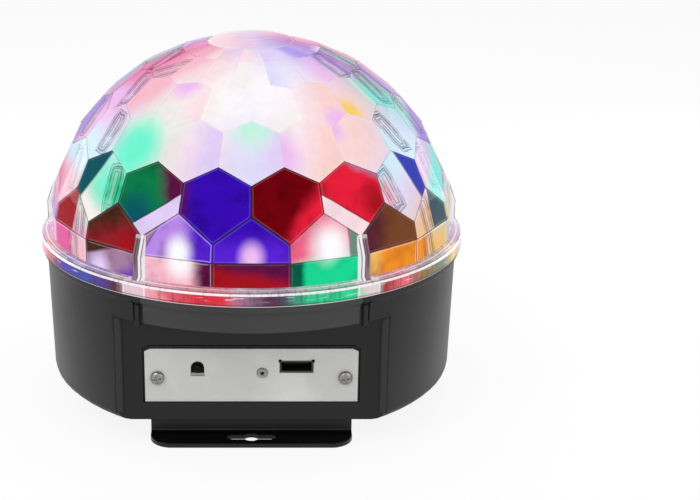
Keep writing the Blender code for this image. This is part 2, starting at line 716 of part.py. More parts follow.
def edge_ribs():
    """A raised bead down each end of the flat front."""
    ribs = bmesh.new()
    front = FRONT_Y + EDGE_RIB_RISE
    outer = math.sqrt(HOUSING_TOP_RADIUS**2 - front**2)
    low, high = HOUSING_Z + HOUSING_FILLET, COLLAR_Z + HOUSING_WALL / 2
    for side in (-1, 1):
        left, right = sorted((side * outer, side * (outer - EDGE_RIB_WIDTH)))
        add_box(ribs, (left, -front, low), (right, -FRONT_Y + FRONT_WALL / 2, high))
    return ribs


def clip_grooves():
    """Two upright grooves beside each clip tab, in the collar under the lip."""
    grooves = bmesh.new()
    low, high = COLLAR_Z - OVERRUN, RIM_Z - LIP_HEIGHT
    inner = HOUSING_TOP_RADIUS - CLIP_GROOVE_DEPTH
    middle = (CLIP_TAB_WIDTH + CLIP_GROOVE_WIDTH) / 2
    for angle in clip_angles():
        for side in (-1, 1):
            low_y = side * middle - CLIP_GROOVE_WIDTH / 2
            add_box(
                grooves,
                (inner, low_y, low),
                (LIP_RADIUS + OVERRUN, low_y + CLIP_GROOVE_WIDTH, high),
                facing(angle),
            )
    return grooves


def clip_tabs():
    """The raised tab between two grooves, with its foot below the collar."""
    tabs = bmesh.new()
    outer = HOUSING_TOP_RADIUS + CLIP_TAB_RISE
    inner = HOUSING_TOP_RADIUS - HOUSING_WALL / 2
    half = CLIP_TAB_WIDTH / 2 - CLIP_TAB_MARGIN
    for angle in clip_angles():
        low = (inner, -half, COLLAR_Z - CLIP_TAB_DROP)
        high = (outer, half, RIM_Z - LIP_HEIGHT - LIP_SLOPE)
        add_box(tabs, low, high, facing(angle))
    return tabs


def deck_screw_places():
    step = 2 * math.pi / DECK_SCREW_COUNT
    return [polar(DECK_SCREW_RADIUS, DECK_SCREW_FIRST + step * index) for index in range(DECK_SCREW_COUNT)]


def decoder_peg_places():
    y = -(FRONT_Y - DECODER_FRONT) + DECODER_DEPTH - DECODER_PEG_BACK
    return [(side * DECODER_PEG_X, y) for side in (-1, 1)]


def driver_peg_places():
    return [(side * DRIVER_PEG_X, DRIVER_PEG_Y) for side in (-1, 1)]


def speaker_screw_places():
    reach = SPEAKER_RADIUS + SPEAKER_SCREW_OFFSET
    return [(SPEAKER_X, side * reach) for side in (-1, 1)]


def housing_bosses():
    """Bosses and pegs that stand on the floor, panel bosses, and the pad behind the inlet."""
    bosses = bmesh.new()
    base = FLOOR_Z - SINK
    for place in deck_screw_places():
        add_prism(bosses, circle(BOSS_RADIUS, SMALL_STEPS, place), base, DECK_UNDER_Z - GAP)
    for place in bracket_screw_places() + driver_peg_places():
        add_prism(bosses, circle(BOSS_RADIUS, SMALL_STEPS, place), base, DRIVER_Z - GAP)
    for place in decoder_peg_places():
        add_prism(bosses, circle(PEG_RADIUS, SMALL_STEPS, place), base, DECODER_Z - GAP)
    for place in speaker_screw_places():
        add_prism(bosses, circle(PEG_RADIUS, SMALL_STEPS, place), base, FLOOR_Z + SPEAKER_RIM_HEIGHT)
    back = -(FRONT_Y - FRONT_WALL) - SINK
    for side in (-1, 1):
        matrix = placed((side * PANEL_SCREW_X, back, PANEL_Z + PANEL_SCREW_RISE), FRONT_TURN)
        add_prism(bosses, circle(BOSS_RADIUS, SMALL_STEPS), -PANEL_BOSS_LENGTH, 0, matrix)
    half_x, half_z = rear_pad(INLET_PAD_MARGIN)
    wall = math.sqrt((HOUSING_BOTTOM_RADIUS - HOUSING_WALL) ** 2 - half_x**2)
    low = (-half_x, wall - INLET_PAD_DEPTH, INLET_Z - half_z)
    add_box(bosses, low, (half_x, wall + HOUSING_WALL / 2, INLET_Z + half_z))
    return bosses


def panel_pocket():
    """The shallow pocket that the panel lies in."""
    pocket = bmesh.new()
    half = PANEL_WIDTH / 2 + POCKET_MARGIN
    low = PANEL_Z - POCKET_MARGIN / 3
    high = PANEL_Z + PANEL_HEIGHT + POCKET_TOP_MARGIN
    corner_x, corner_z = PANEL_CHAMFER_WIDTH, PANEL_CHAMFER_HEIGHT
    outline = [
        (-half, low), (half, low), (half, high - corner_z),
        (half - corner_x, high), (-half + corner_x, high), (-half, high - corner_z),
    ]
    matrix = placed((0, -FRONT_Y, 0), FRONT_TURN)
    add_prism(pocket, outline, -POCKET_DEPTH, OVERRUN, matrix)
    return pocket


def housing_openings():
    """Openings right through the walls: behind the panel, at the inlet, and in the floor."""
    openings = bmesh.new()
    matrix = placed((0, -FRONT_Y, 0), FRONT_TURN)
    window_middle = (0, PANEL_Z + PANEL_HEIGHT / 2 + WINDOW_CORNER)
    window = rounded_rectangle(WINDOW_WIDTH - 2 * BOSS_RADIUS, WINDOW_HEIGHT, WINDOW_CORNER, 2, window_middle)
    add_prism(openings, window, -FRONT_WALL - OVERRUN, -POCKET_DEPTH + SINK, matrix)

    back = placed((0, 0, INLET_Z), BACK_TURN)
    flange_x, flange_z = rear_pad(INLET_FLANGE_MARGIN + FIT_GAP)
    pocket = rounded_rectangle(2 * flange_x, 2 * flange_z, INLET_CORNER, 2)
    outer = HOUSING_TOP_RADIUS + OVERRUN
    add_prism(openings, pocket, INLET_SEAT_Y, outer, back)

    for index in range(VENT_COUNT):
        middle = (VENT_X, (index - (VENT_COUNT - 1) / 2) * VENT_PITCH)
        vent = slot_outline(VENT_LENGTH, VENT_WIDTH, 3, middle)
        add_prism(openings, vent, HOUSING_Z - OVERRUN, FLOOR_Z + OVERRUN)
    for index in range(SPEAKER_SLOT_COUNT):
        y = (index - (SPEAKER_SLOT_COUNT - 1) / 2) * SPEAKER_SLOT_PITCH
        reach = math.sqrt((SPEAKER_RADIUS - SPEAKER_RIM_WIDTH) ** 2 - y**2)
        length = 2 * (reach - SPEAKER_SLOT_MARGIN + SPEAKER_SLOT_WIDTH / 2)
        slot = slot_outline(length, SPEAKER_SLOT_WIDTH, 3, (SPEAKER_X, y))
        add_prism(openings, slot, HOUSING_Z - OVERRUN, FLOOR_Z + OVERRUN)
    return openings


def boss_holes():
    """Screw holes in the bosses, and the inlet's own hole through its pad."""
    holes = bmesh.new()
    for place in deck_screw_places():
        floor = DECK_TOP_Z - DECK_SCREW[3] - OVERRUN
        add_prism(holes, circle(screw_hole(DECK_SCREW), SCREW_STEPS, place), floor, DECK_TOP_Z)
    for place in bracket_screw_places():
        top = BRACKET_HEIGHT - BRACKET_SHEET - GAP + BRACKET_SCREW[3] + GAP
        add_prism(holes, circle(screw_hole(BRACKET_SCREW), SCREW_STEPS, place), 0, top)
    for place in driver_peg_places():
        floor = DRIVER_TOP_Z - BOARD_SCREW[3]
        add_prism(holes, circle(screw_hole(BOARD_SCREW), SCREW_STEPS, place), floor, DRIVER_TOP_Z)
    for place in decoder_peg_places():
        floor = DECODER_Z + BOARD_SHEET - BOARD_SCREW[3]
        add_prism(holes, circle(screw_hole(BOARD_SCREW), SCREW_STEPS, place), floor, DECODER_Z + BOARD_SHEET)
    for place in speaker_screw_places():
        seat = FLOOR_Z + SPEAKER_RIM_HEIGHT + GAP
        floor = seat - SPEAKER_SCREW[3] + GAP
        add_prism(holes, circle(screw_hole(SPEAKER_SCREW), SCREW_STEPS, place), floor, seat + OVERRUN)
    for side in (-1, 1):
        matrix = placed((side * PANEL_SCREW_X, -FRONT_Y, PANEL_Z + PANEL_SCREW_RISE), FRONT_TURN)
        depth = PANEL_SCREW[3] + GAP
        add_prism(holes, circle(screw_hole(PANEL_SCREW), SCREW_STEPS), -depth, OVERRUN, matrix)
    back = placed((0, 0, INLET_Z), BACK_TURN)
    outline = rounded_rectangle(INLET_WIDTH + 2 * FIT_GAP, INLET_HEIGHT + 2 * FIT_GAP, INLET_CORNER, 2)
    add_prism(holes, outline, INLET_SEAT_Y - HOUSING_WALL - INLET_PAD_DEPTH - OVERRUN, HOUSING_TOP_RADIUS, back)
    return holes


def faceted_dome(face_radius, skirt_radius, top_face, base, rows, turns, sectors, inset=0.0):
    """A convex many-sided dome: flat facets in staggered rows over an upright skirt.

    Each facet's plane touches a sphere round the origin at its row's latitude.
    """
    size = 2 * (face_radius + skirt_radius)
    solid = bmesh.new()
    bmesh.ops.create_cube(solid, size=size)
    step = 2 * math.pi / sectors
    planes = [(Vector((0, 0, 1)), top_face - inset), (Vector((0, 0, -1)), -base)]
    for sector in range(sectors):
        x, y = polar(1, sector * step)
        planes.append((Vector((x, y, 0)), skirt_radius - inset))
    for latitude, half_turns in zip(rows, turns):
        rise = math.radians(latitude)
        for sector in range(sectors):
            x, y = polar(math.cos(rise), (sector + half_turns / 2) * step)
            planes.append((Vector((x, y, math.sin(rise))), face_radius - inset))
    for normal, distance in planes:
        parts = solid.verts[:] + solid.edges[:] + solid.faces[:]
        result = bmesh.ops.bisect_plane(
            solid, geom=parts, plane_co=normal * distance, plane_no=normal, clear_outer=True, dist=SAME_PLACE
        )
        rim = [part for part in result["geom_cut"] if isinstance(part, bmesh.types.BMEdge)]
        if rim:
            bmesh.ops.contextual_create(solid, geom=rim)
    return solid


def shifted(mesh, height):
    bmesh.ops.translate(mesh, verts=mesh.verts[:], vec=(0, 0, height))
    return mesh


def dome_solid(inset, base):
    return faceted_dome(
        DOME_FACE_RADIUS, DOME_SKIRT_RADIUS, DOME_TOP_FACE, base,
        DOME_ROW_LATITUDES, DOME_ROW_TURNS, DOME_SECTORS, inset,
    )


def cap_profile():
    """The round lens on top of the dome: concentric ripples on a low rise."""
    low = DOME_TOP_FACE - DOME_WALL / 2
    points = [(0, low), (DOME_CAP_RADIUS, low), (DOME_CAP_RADIUS, DOME_TOP_FACE)]
    steps = 4 * DOME_CAP_RINGS
    for index in range(1, steps):
        share = index / steps
        radius = DOME_CAP_RADIUS * (1 - share)
        rise = DOME_CAP_RISE * math.sqrt(1 - (1 - share) ** 2)
        ripple = DOME_CAP_RING_RISE * math.sin(share * DOME_CAP_RINGS * 2 * math.pi)
        points.append((radius, DOME_TOP_FACE + rise + ripple))
    points.append((0, DOME_TOP_FACE + DOME_CAP_RISE))
    return points


def build_clear_dome():
    """The clear dome: faceted shell, rippled cap, stepped flange, posts and snap tongues."""
    look = material("clear_dome", CLEAR_ACRYLIC, clear=1.0)
    dome = piece("clear_dome", dome_solid(0, FLANGE_STEP_HEIGHT / 2), look, (0, 0, DOME_Z), smooth=False)

    cap = bmesh.new()
    add_turned(cap, cap_profile(), ROUND_STEPS)
    join(dome, "dome_cap", shifted(cap, DOME_Z))

    step_radius = FLANGE_RADIUS - FLANGE_STEP_WIDTH
    step_height = FLANGE_HEIGHT - FLANGE_STEP_HEIGHT
    flange = bmesh.new()
    add_turned(
        flange,
        [
            (0, 0), (FLANGE_RADIUS, 0), (FLANGE_RADIUS, step_height),
            (step_radius, FLANGE_HEIGHT), (0, FLANGE_HEIGHT),
        ],
        FINE_STEPS,
    )
    join(dome, "dome_flange", shifted(flange, DOME_Z))

    posts = bmesh.new()
    rise = math.radians(DOME_ROW_LATITUDES[0])
    corner = 1 / math.cos(math.pi / DOME_SECTORS)
    skirt_top = (DOME_FACE_RADIUS - DOME_SKIRT_RADIUS * math.cos(rise)) / math.sin(rise)
    skirt_edge = DOME_SKIRT_RADIUS * corner + POST_RISE
    top_wall = (DOME_FACE_RADIUS - POST_TOP * math.sin(rise)) / math.cos(rise) * corner
    inner = top_wall - DOME_WALL / 2
    profile = [
        (inner, FLANGE_STEP_HEIGHT),
        (POST_FOOT_RADIUS, FLANGE_STEP_HEIGHT),
        (POST_FOOT_RADIUS, FLANGE_HEIGHT),
        (skirt_edge, FLANGE_HEIGHT + POST_RISE),
        (skirt_edge, skirt_top),
        (top_wall + POST_TOP_RISE, POST_TOP),
        (inner, POST_TOP),
    ]
    for angle in clip_angles():
        add_prism(posts, profile, -POST_WIDTH / 2, POST_WIDTH / 2, facing(angle) @ PROFILE_TURN)
    join(dome, "dome_posts", shifted(posts, DOME_Z))

    join(dome, "dome_tongues", shifted(dome_tongues(), DOME_Z))
    hollow = dome_solid(DOME_WALL, -SINK)
    cut(dome, "dome_hollow", shifted(hollow, DOME_Z))


def dome_tongues():
    """Six snap tongues under the flange, each with a barb."""
    tongues = bmesh.new()
    outer = FLANGE_RADIUS - TONGUE_INSET
    inner = outer - TONGUE_THICKNESS
    foot = -TONGUE_LENGTH
    profile = [
        (inner, SINK), (inner, foot), (outer, foot), (outer + TONGUE_BARB, foot + TONGUE_BARB_HEIGHT / 2),
        (outer + TONGUE_BARB, foot + TONGUE_BARB_HEIGHT), (outer, foot + TONGUE_BARB_HEIGHT), (outer, SINK),
    ]
    for angle in clip_angles():
        add_prism(tongues, profile, -TONGUE_WIDTH / 2, TONGUE_WIDTH / 2, facing(angle) @ PROFILE_TURN)
    return tongues


def receiver_outline(width, height):
    """A round-topped window or body, standing on a flat foot."""
    radius = width / 2
    shoulder = height - radius
    return [(-radius, 0), (radius, 0)] + arc((0, shoulder), radius, 0, math.pi, 2 * BEND_STEPS)


def panel_place(x, rise, depth=0.0):
    """A place on the panel, with a depth behind its front face."""
    return (x, -FRONT_Y + GAP + depth, PANEL_Z + rise)


def build_panel():
    """The silver sheet panel with its cut-outs and chamfered top corners, and its two screws."""
    half = PANEL_WIDTH / 2
    top = PANEL_HEIGHT
    outline = [
        (-half, 0), (half, 0), (half, top - PANEL_CHAMFER_HEIGHT), (half - PANEL_CHAMFER_WIDTH, top),
        (-half + PANEL_CHAMFER_WIDTH, top), (-half, top - PANEL_CHAMFER_HEIGHT),
    ]
    sheet = bmesh.new()
    add_prism(sheet, outline, -PANEL_SHEET, 0)
    look = material("control_panel", SILVER_SHEET)
    panel = piece("control_panel", sheet, look, panel_place(0, 0), FRONT_TURN, smooth=False)

    holes = bmesh.new()
    low, high = -PANEL_SHEET - OVERRUN, OVERRUN
    window = receiver_outline(RECEIVER_WIDTH + 2 * FIT_GAP, RECEIVER_HEIGHT + 2 * FIT_GAP)
    matrix = placed(panel_place(RECEIVER_X, RECEIVER_RISE - RECEIVER_HEIGHT / 2 - FIT_GAP), FRONT_TURN)
    add_prism(holes, window, low, high, matrix)
    matrix = placed(panel_place(USB_X, USB_RISE), FRONT_TURN)
    half_x, half_z = USB_WIDTH / 2 + FIT_GAP, USB_HEIGHT / 2 + FIT_GAP
    ear_x, ear_z = half_x + USB_EAR / 2, half_z + USB_EAR / 2
    port = [
        (-half_x, -half_z), (half_x, -half_z), (half_x, half_z - USB_EAR), (ear_x, half_z - USB_EAR),
        (ear_x, ear_z), (half_x - USB_EAR, ear_z), (half_x - USB_EAR, half_z),
        (-half_x + USB_EAR, half_z), (-half_x + USB_EAR, ear_z), (-ear_x, ear_z),
        (-ear_x, half_z - USB_EAR), (-half_x, half_z - USB_EAR),
    ]
    add_prism(holes, port, low, high, matrix)
    matrix = placed(panel_place(INDICATOR_X, INDICATOR_RISE), FRONT_TURN)
    add_prism(holes, circle(INDICATOR_DIAMETER / 2 + FIT_GAP, SMALL_STEPS), low, high, matrix)
    for side in (-1, 1):
        matrix = placed(panel_place(side * PANEL_SCREW_X, PANEL_SCREW_RISE), FRONT_TURN)
        add_prism(holes, circle(screw_hole(PANEL_SCREW), SCREW_STEPS), low, high, matrix)
    cut(panel, "panel_holes", holes)

    seats = []
    for side, word in ((-1, "left"), (1, "right")):
        seats.append((word, panel_place(side * PANEL_SCREW_X, PANEL_SCREW_RISE, -GAP), FRONT_TURN))
    place_screws("panel_screw", PANEL_SCREW, seats, crossed=True)


def build_panel_parts():
    """The receiver, the USB socket and the indicator, seated on the decoder board."""
    body = bmesh.new()
    add_prism(body, receiver_outline(RECEIVER_WIDTH, RECEIVER_HEIGHT), -RECEIVER_DEPTH, 0)
    depth = DECODER_FRONT - 2 * GAP - RECEIVER_DEPTH
    place = panel_place(RECEIVER_X, RECEIVER_RISE - RECEIVER_HEIGHT / 2, depth)
    receiver = piece("ir_receiver", body, material("ir_receiver", DARK_PLASTIC), place, FRONT_TURN)
    bulge = bmesh.new()
    radius = RECEIVER_WIDTH / 2 - SINK
    dome = [(0, -SINK), (radius, -SINK)] + arc((0, 0), 1, 0, math.pi / 2, BEND_STEPS)
    dome = dome[:2] + [(radius * x, RECEIVER_BULGE * y) for x, y in dome[2:]]
    dome[-1] = (0, RECEIVER_BULGE)
    middle = Vector(place) + Vector((0, 0, RECEIVER_HEIGHT / 2))
    add_turned(bulge, dome, SCREW_STEPS, placed(middle, FRONT_TURN))
    join(receiver, "receiver_bulge", bulge)

    shell = bmesh.new()
    half_x, half_z = USB_WIDTH / 2, USB_HEIGHT / 2
    add_box(shell, (-half_x, -half_z, -USB_DEPTH), (half_x, half_z, 0))
    front = panel_place(USB_X, USB_RISE, GAP)
    socket = piece("usb_shell", shell, material("usb_shell", BRIGHT_STEEL), front, FRONT_TURN, smooth=False)
    inside = bmesh.new()
    wall = USB_SHEET
    low = (-half_x + wall, -half_z + wall, -USB_DEPTH + wall)
    add_box(inside, low, (half_x - wall, half_z - wall, OVERRUN), placed(front, FRONT_TURN))
    cut(socket, "usb_inside", inside)
    plate = bmesh.new()
    high_z = half_z - wall - 2 * GAP
    low_y = -USB_DEPTH + wall + GAP
    add_box(
        plate,
        (-TONGUE_PLATE_WIDTH / 2, high_z - TONGUE_PLATE_THICKNESS, low_y),
        (TONGUE_PLATE_WIDTH / 2, high_z, low_y + TONGUE_PLATE_DEPTH),
    )
    look = material("usb_tongue", DARK_PLASTIC)
    piece("usb_tongue", plate, look, front, FRONT_TURN, smooth=False)

    lamp = bmesh.new()
    radius = INDICATOR_DIAMETER / 2
    profile = [(0, -INDICATOR_DEPTH), (radius, -INDICATOR_DEPTH)]
    profile += [(x, y - radius) for x, y in arc((0, 0), radius, 0, math.pi / 2, BEND_STEPS)]
    profile[-1] = (0, 0)
    add_turned(lamp, profile, SMALL_STEPS)
    place = panel_place(INDICATOR_X, INDICATOR_RISE, DECODER_FRONT - 2 * GAP - INDICATOR_DEPTH)
    piece("status_indicator", lamp, material("status_indicator", WHITE_PLASTIC), place, FRONT_TURN)


def add_parts_on_board(mesh, width, depth, sizes, shares, height):
    """Adds low component blocks on a board centred at the origin."""
    for (size_x, size_y, size_z), (share_x, share_y) in zip(sizes, shares):
        x, y = share_x * width, share_y * depth
        low = (x - size_x / 2, y - size_y / 2, height - SINK)
        add_box(mesh, low, (x + size_x / 2, y + size_y / 2, height + size_z))


def build_decoder_board():
    """The sound and remote-control board, level with the sockets in the panel."""
    centre = (0, -FRONT_Y + DECODER_FRONT + DECODER_DEPTH / 2, DECODER_Z)
    sheet = bmesh.new()
    half_width, half_depth = DECODER_WIDTH / 2, DECODER_DEPTH / 2
    add_box(sheet, (-half_width, -half_depth, 0), (half_width, half_depth, BOARD_SHEET))
    look = material("decoder_board", GREEN_BOARD)
    board = piece("decoder_board", sheet, look, centre, smooth=False)
    chips = bmesh.new()
    size = (DECODER_WIDTH, DECODER_DEPTH)
    add_parts_on_board(chips, *size, DECODER_CHIP_SIZES, DECODER_CHIP_SHARES, BOARD_SHEET)
    bmesh.ops.translate(chips, verts=chips.verts[:], vec=centre)
    join(board, "decoder_chips", chips)
    holes = bmesh.new()
    seats = []
    top = DECODER_Z + BOARD_SHEET
    for (x, y), word in zip(decoder_peg_places(), ("left", "right")):
        hole = circle(screw_hole(BOARD_SCREW), SCREW_STEPS, (x, y))
        add_prism(holes, hole, DECODER_Z - OVERRUN, top + OVERRUN)
        seats.append((word, (x, y, top + GAP), (0, 0, 0)))
    cut(board, "decoder_holes", holes)
    place_screws("decoder_screw", BOARD_SCREW, seats)


def build_driver_board():
    """The mains board with its blocks, the transformer, the capacitor and two screws."""
    sheet = bmesh.new()
    half_x, half_y = DRIVER_WIDTH / 2, DRIVER_DEPTH / 2
    add_box(sheet, (-half_x, -half_y, 0), (half_x, half_y, BOARD_SHEET))
    look = material("driver_board", GREEN_BOARD)
    board = piece("driver_board", sheet, look, (0, DRIVER_Y, DRIVER_Z), smooth=False)
    blocks = bmesh.new()
    add_parts_on_board(blocks, DRIVER_WIDTH, DRIVER_DEPTH, DRIVER_PART_SIZES, DRIVER_PART_SHARES, BOARD_SHEET)
    bmesh.ops.translate(blocks, verts=blocks.verts[:], vec=(0, DRIVER_Y, DRIVER_Z))
    join(board, "driver_blocks", blocks)
    holes = bmesh.new()
    seats = []
    for (x, y), word in zip(driver_peg_places(), ("left", "right")):
        hole = circle(screw_hole(BOARD_SCREW), SCREW_STEPS, (x, y))
        add_prism(holes, hole, DRIVER_Z - OVERRUN, DRIVER_TOP_Z + OVERRUN)
        seats.append((word, (x, y, DRIVER_TOP_Z + GAP), (0, 0, 0)))
    cut(board, "driver_holes", holes)
    place_screws("driver_screw", BOARD_SCREW, seats)

    core = bmesh.new()
    size_x, size_y, size_z = TRANSFORMER_CORE
    add_box(core, (-size_x / 2, -size_y / 2, 0), (size_x / 2, size_y / 2, size_z))
    x, y = TRANSFORMER_SHARES[0] * DRIVER_WIDTH, DRIVER_Y + TRANSFORMER_SHARES[1] * DRIVER_DEPTH
    place = (x, y, DRIVER_TOP_Z + GAP)
    look = material("transformer", TRANSFORMER_YELLOW)
    transformer = piece("transformer", core, look, place, smooth=False)
    winding = bmesh.new()
    wide, deep, tall = TRANSFORMER_WINDING
    low = (size_z - tall) / 2
    low += place[2]
    add_box(winding, (x - wide / 2, y - deep / 2, low), (x + wide / 2, y + deep / 2, low + tall))
    join(transformer, "transformer_winding", winding)

    can = bmesh.new()
    radius = CAPACITOR_DIAMETER / 2
    roll = CAPACITOR_ROLL
    profile = [
        (0, 0), (radius, 0), (radius, roll), (radius - roll, 2 * roll), (radius, 3 * roll),
        (radius, CAPACITOR_HEIGHT - roll), (radius - roll, CAPACITOR_HEIGHT), (0, CAPACITOR_HEIGHT),
    ]
    add_turned(can, profile, SMALL_STEPS)
    x, y = CAPACITOR_SHARES[0] * DRIVER_WIDTH, DRIVER_Y + CAPACITOR_SHARES[1] * DRIVER_DEPTH
    look = material("filter_capacitor", CAPACITOR_SLEEVE)
    piece("filter_capacitor", can, look, (x, y, DRIVER_TOP_Z + GAP))


def build_inlet():
    """The two-pin power inlet in the rear wall."""
    seat = INLET_SEAT_Y + GAP
    body = bmesh.new()
    half_x, half_z = rear_pad(INLET_FLANGE_MARGIN)
    add_prism(body, rounded_rectangle(2 * half_x, 2 * half_z, INLET_CORNER, 2), 0, INLET_FLANGE_SHEET)
    look = material("power_inlet", DARK_PLASTIC)
    inlet = piece("power_inlet", body, look, (0, seat, INLET_Z), BACK_TURN)
    matrix = placed((0, seat, INLET_Z), BACK_TURN)
    neck = bmesh.new()
    outline = rounded_rectangle(INLET_WIDTH, INLET_HEIGHT, INLET_CORNER, 2)
    add_prism(neck, outline, -INLET_DEPTH, SINK, matrix)
    join(inlet, "inlet_neck", neck)
    socket_floor = INLET_FLANGE_SHEET - SOCKET_DEPTH
    top = INLET_FLANGE_SHEET + OVERRUN
    half = SOCKET_PITCH / 2
    for side, word in ((-1, "left"), (1, "right")):
        cavity = bmesh.new()
        add_prism(cavity, circle(SOCKET_RADIUS, SMALL_STEPS, (side * half, 0)), socket_floor, top, matrix)
        cut(inlet, "inlet_socket_" + word, cavity)
    waist = bmesh.new()
    reach = SOCKET_WAIST / 2
    add_box(waist, (-half, -reach, socket_floor), (half, reach, top), matrix)
    cut(inlet, "inlet_waist", waist)
    pin_holes = bmesh.new()
    for side in (-1, 1):
        hole = circle(PIN_DIAMETER / 2 + FIT_GAP, SCREW_STEPS, (side * half, 0))
        add_prism(pin_holes, hole, -INLET_DEPTH - OVERRUN, socket_floor + SINK, matrix)
    cut(inlet, "inlet_pin_holes", pin_holes)
    for side, word in ((1, "left"), (-1, "right")):
        pin = bmesh.new()
        radius = PIN_DIAMETER / 2
        tip = radius / 2
        profile = [(0, 0), (radius, 0), (radius, PIN_LENGTH - tip), (tip, PIN_LENGTH), (0, PIN_LENGTH)]
        add_turned(pin, profile, SCREW_STEPS)
        look = material("inlet_pin_" + word, BRASS_PIN)
        place = (-side * half, seat - INLET_DEPTH - PIN_TAIL, INLET_Z)
        piece("inlet_pin_" + word, pin, look, place, BACK_TURN)


def lamp_angles():
    return [LAMP_FIRST_ANGLE + 2 * math.pi * index / len(LED_COLOURS) for index in range(len(LED_COLOURS))]


def stack_screw_places():
    step = 2 * math.pi / STACK_SCREW_COUNT
    return [polar(LAMP_RING_RADIUS, step * index) for index in range(STACK_SCREW_COUNT)]


def build_deck():
    """The reflector plate with its lamp holes, spacers and motor posts, and its four screws."""
    plate = bmesh.new()
    add_turned(plate, [(0, 0), (DECK_RADIUS, 0), (DECK_RADIUS, DECK_SHEET), (0, DECK_SHEET)], FINE_STEPS)
    deck = piece("lamp_deck", plate, material("lamp_deck", REFLECTOR), (0, 0, DECK_UNDER_Z))
    posts = bmesh.new()
    for place in stack_screw_places():
        low = DECK_UNDER_Z - DECK_SPACER_HEIGHT
        add_prism(posts, circle(BOSS_RADIUS, SMALL_STEPS, place), low, DECK_UNDER_Z + SINK)
    for side in (-1, 1):
        place = (side * MOTOR_EAR_X, 0)
        add_prism(posts, circle(BOSS_RADIUS, SMALL_STEPS, place), MOTOR_TOP_Z + GAP, DECK_UNDER_Z + SINK)
    join(deck, "deck_posts", posts)
    holes = bmesh.new()
    low, high = DECK_UNDER_Z - DECK_SPACER_HEIGHT - OVERRUN, DECK_TOP_Z + OVERRUN
    for angle in lamp_angles():
        hole = circle(LENS_RADIUS + FIT_GAP, SMALL_STEPS, polar(LAMP_RING_RADIUS, angle))
        add_prism(holes, hole, low, high)
    add_prism(holes, circle(SHAFT_RADIUS + 2 * RUN_GAP, SMALL_STEPS), low, high)
    for place in deck_screw_places():
        add_prism(holes, circle(screw_hole(DECK_SCREW), SCREW_STEPS, place), low, high)
    for place in stack_screw_places():
        add_prism(holes, circle(screw_hole(STACK_SCREW), SCREW_STEPS, place), low, high)
    for side in (-1, 1):
        hole = circle(screw_hole(MOTOR_SCREW), SCREW_STEPS, (side * MOTOR_EAR_X, 0))
        top = MOTOR_TOP_Z - MOTOR_EAR_SHEET + MOTOR_SCREW[3] + GAP
        add_prism(holes, hole, MOTOR_TOP_Z - OVERRUN, top)
    cut(deck, "deck_holes", holes)
    level, straight = DECK_TOP_Z + GAP, (0, 0, 0)
    seats = [(str(i + 1), (x, y, level), straight) for i, (x, y) in enumerate(deck_screw_places())]
    place_screws("deck_screw", DECK_SCREW, seats)
    seats = [(str(i + 1), (x, y, level), straight) for i, (x, y) in enumerate(stack_screw_places())]
    place_screws("heat_sink_screw", STACK_SCREW, seats)


def ring_profile(inner, outer, low, high):
    return [(inner, low), (outer, low), (outer, high), (inner, high)]


def build_lamp_stack():
    """The ring board, the finned heat sink under it, and the six lamps with their lenses."""
    ring = bmesh.new()
    add_turned(ring, ring_profile(LAMP_BOARD_INNER, LAMP_BOARD_OUTER, 0, BOARD_SHEET), ROUND_STEPS)
    look = material("led_board", LAMP_BOARD_WHITE)
    board = piece("led_board", ring, look, (0, 0, LAMP_BOARD_Z))
    holes = bmesh.new()
    for place in stack_screw_places():
        hole = circle(screw_hole(STACK_SCREW), SCREW_STEPS, place)
        add_prism(holes, hole, LAMP_BOARD_Z - OVERRUN, LAMP_BOARD_TOP_Z + OVERRUN)
    cut(board, "led_board_holes", holes)

    disc = bmesh.new()
    height = SINK_TOP_Z - SINK_Z
    add_turned(disc, ring_profile(LAMP_BOARD_INNER, LAMP_BOARD_OUTER, 0, height), ROUND_STEPS)
    sink = piece("heat_sink", disc, material("heat_sink", ALUMINIUM), (0, 0, SINK_Z))
    gaps = bmesh.new()
    pitch = 2 * LAMP_BOARD_OUTER / SINK_FIN_COUNT
    reach = LAMP_BOARD_OUTER + OVERRUN
    for index in range(SINK_FIN_COUNT + 1):
        middle = -LAMP_BOARD_OUTER + index * pitch
        half = (pitch - SINK_FIN_WIDTH) / 2
        low = (middle - half, -reach, SINK_Z - OVERRUN)
        add_box(gaps, low, (middle + half, reach, SINK_Z + SINK_FIN_DEPTH))
    cut(sink, "heat_sink_gaps", gaps)
    threads = bmesh.new()
    for place in stack_screw_places():
        hole = circle(screw_hole(STACK_SCREW), SCREW_STEPS, place)
        add_prism(threads, hole, DECK_TOP_Z - STACK_SCREW[3] - GAP, SINK_TOP_Z + OVERRUN)
    cut(sink, "heat_sink_threads", threads)

    lens_data = lens_mesh()
    for (colour, glow), angle in zip(LED_COLOURS.items(), lamp_angles()):
        x, y = polar(LAMP_RING_RADIUS, angle)
        chip = bmesh.new()
        bulb = [(r, z + LED_BASE_HEIGHT) for r, z in arc((0, 0), LED_BULB_RADIUS, 0, math.pi / 2, BEND_STEPS)]
        bulb[-1] = (0, LED_BASE_HEIGHT + LED_BULB_RADIUS)
        profile = [(0, 0), (LED_RADIUS, 0), (LED_RADIUS, LED_BASE_HEIGHT)] + bulb
        add_turned(chip, profile, SCREW_STEPS)
        look = material("led_" + colour, (glow, 0.3, 0.0), glow=glow)
        piece("led_" + colour, chip, look, (x, y, LAMP_Z))
        piece("led_lens_" + colour, lens_data, None, (x, y, LAMP_Z))


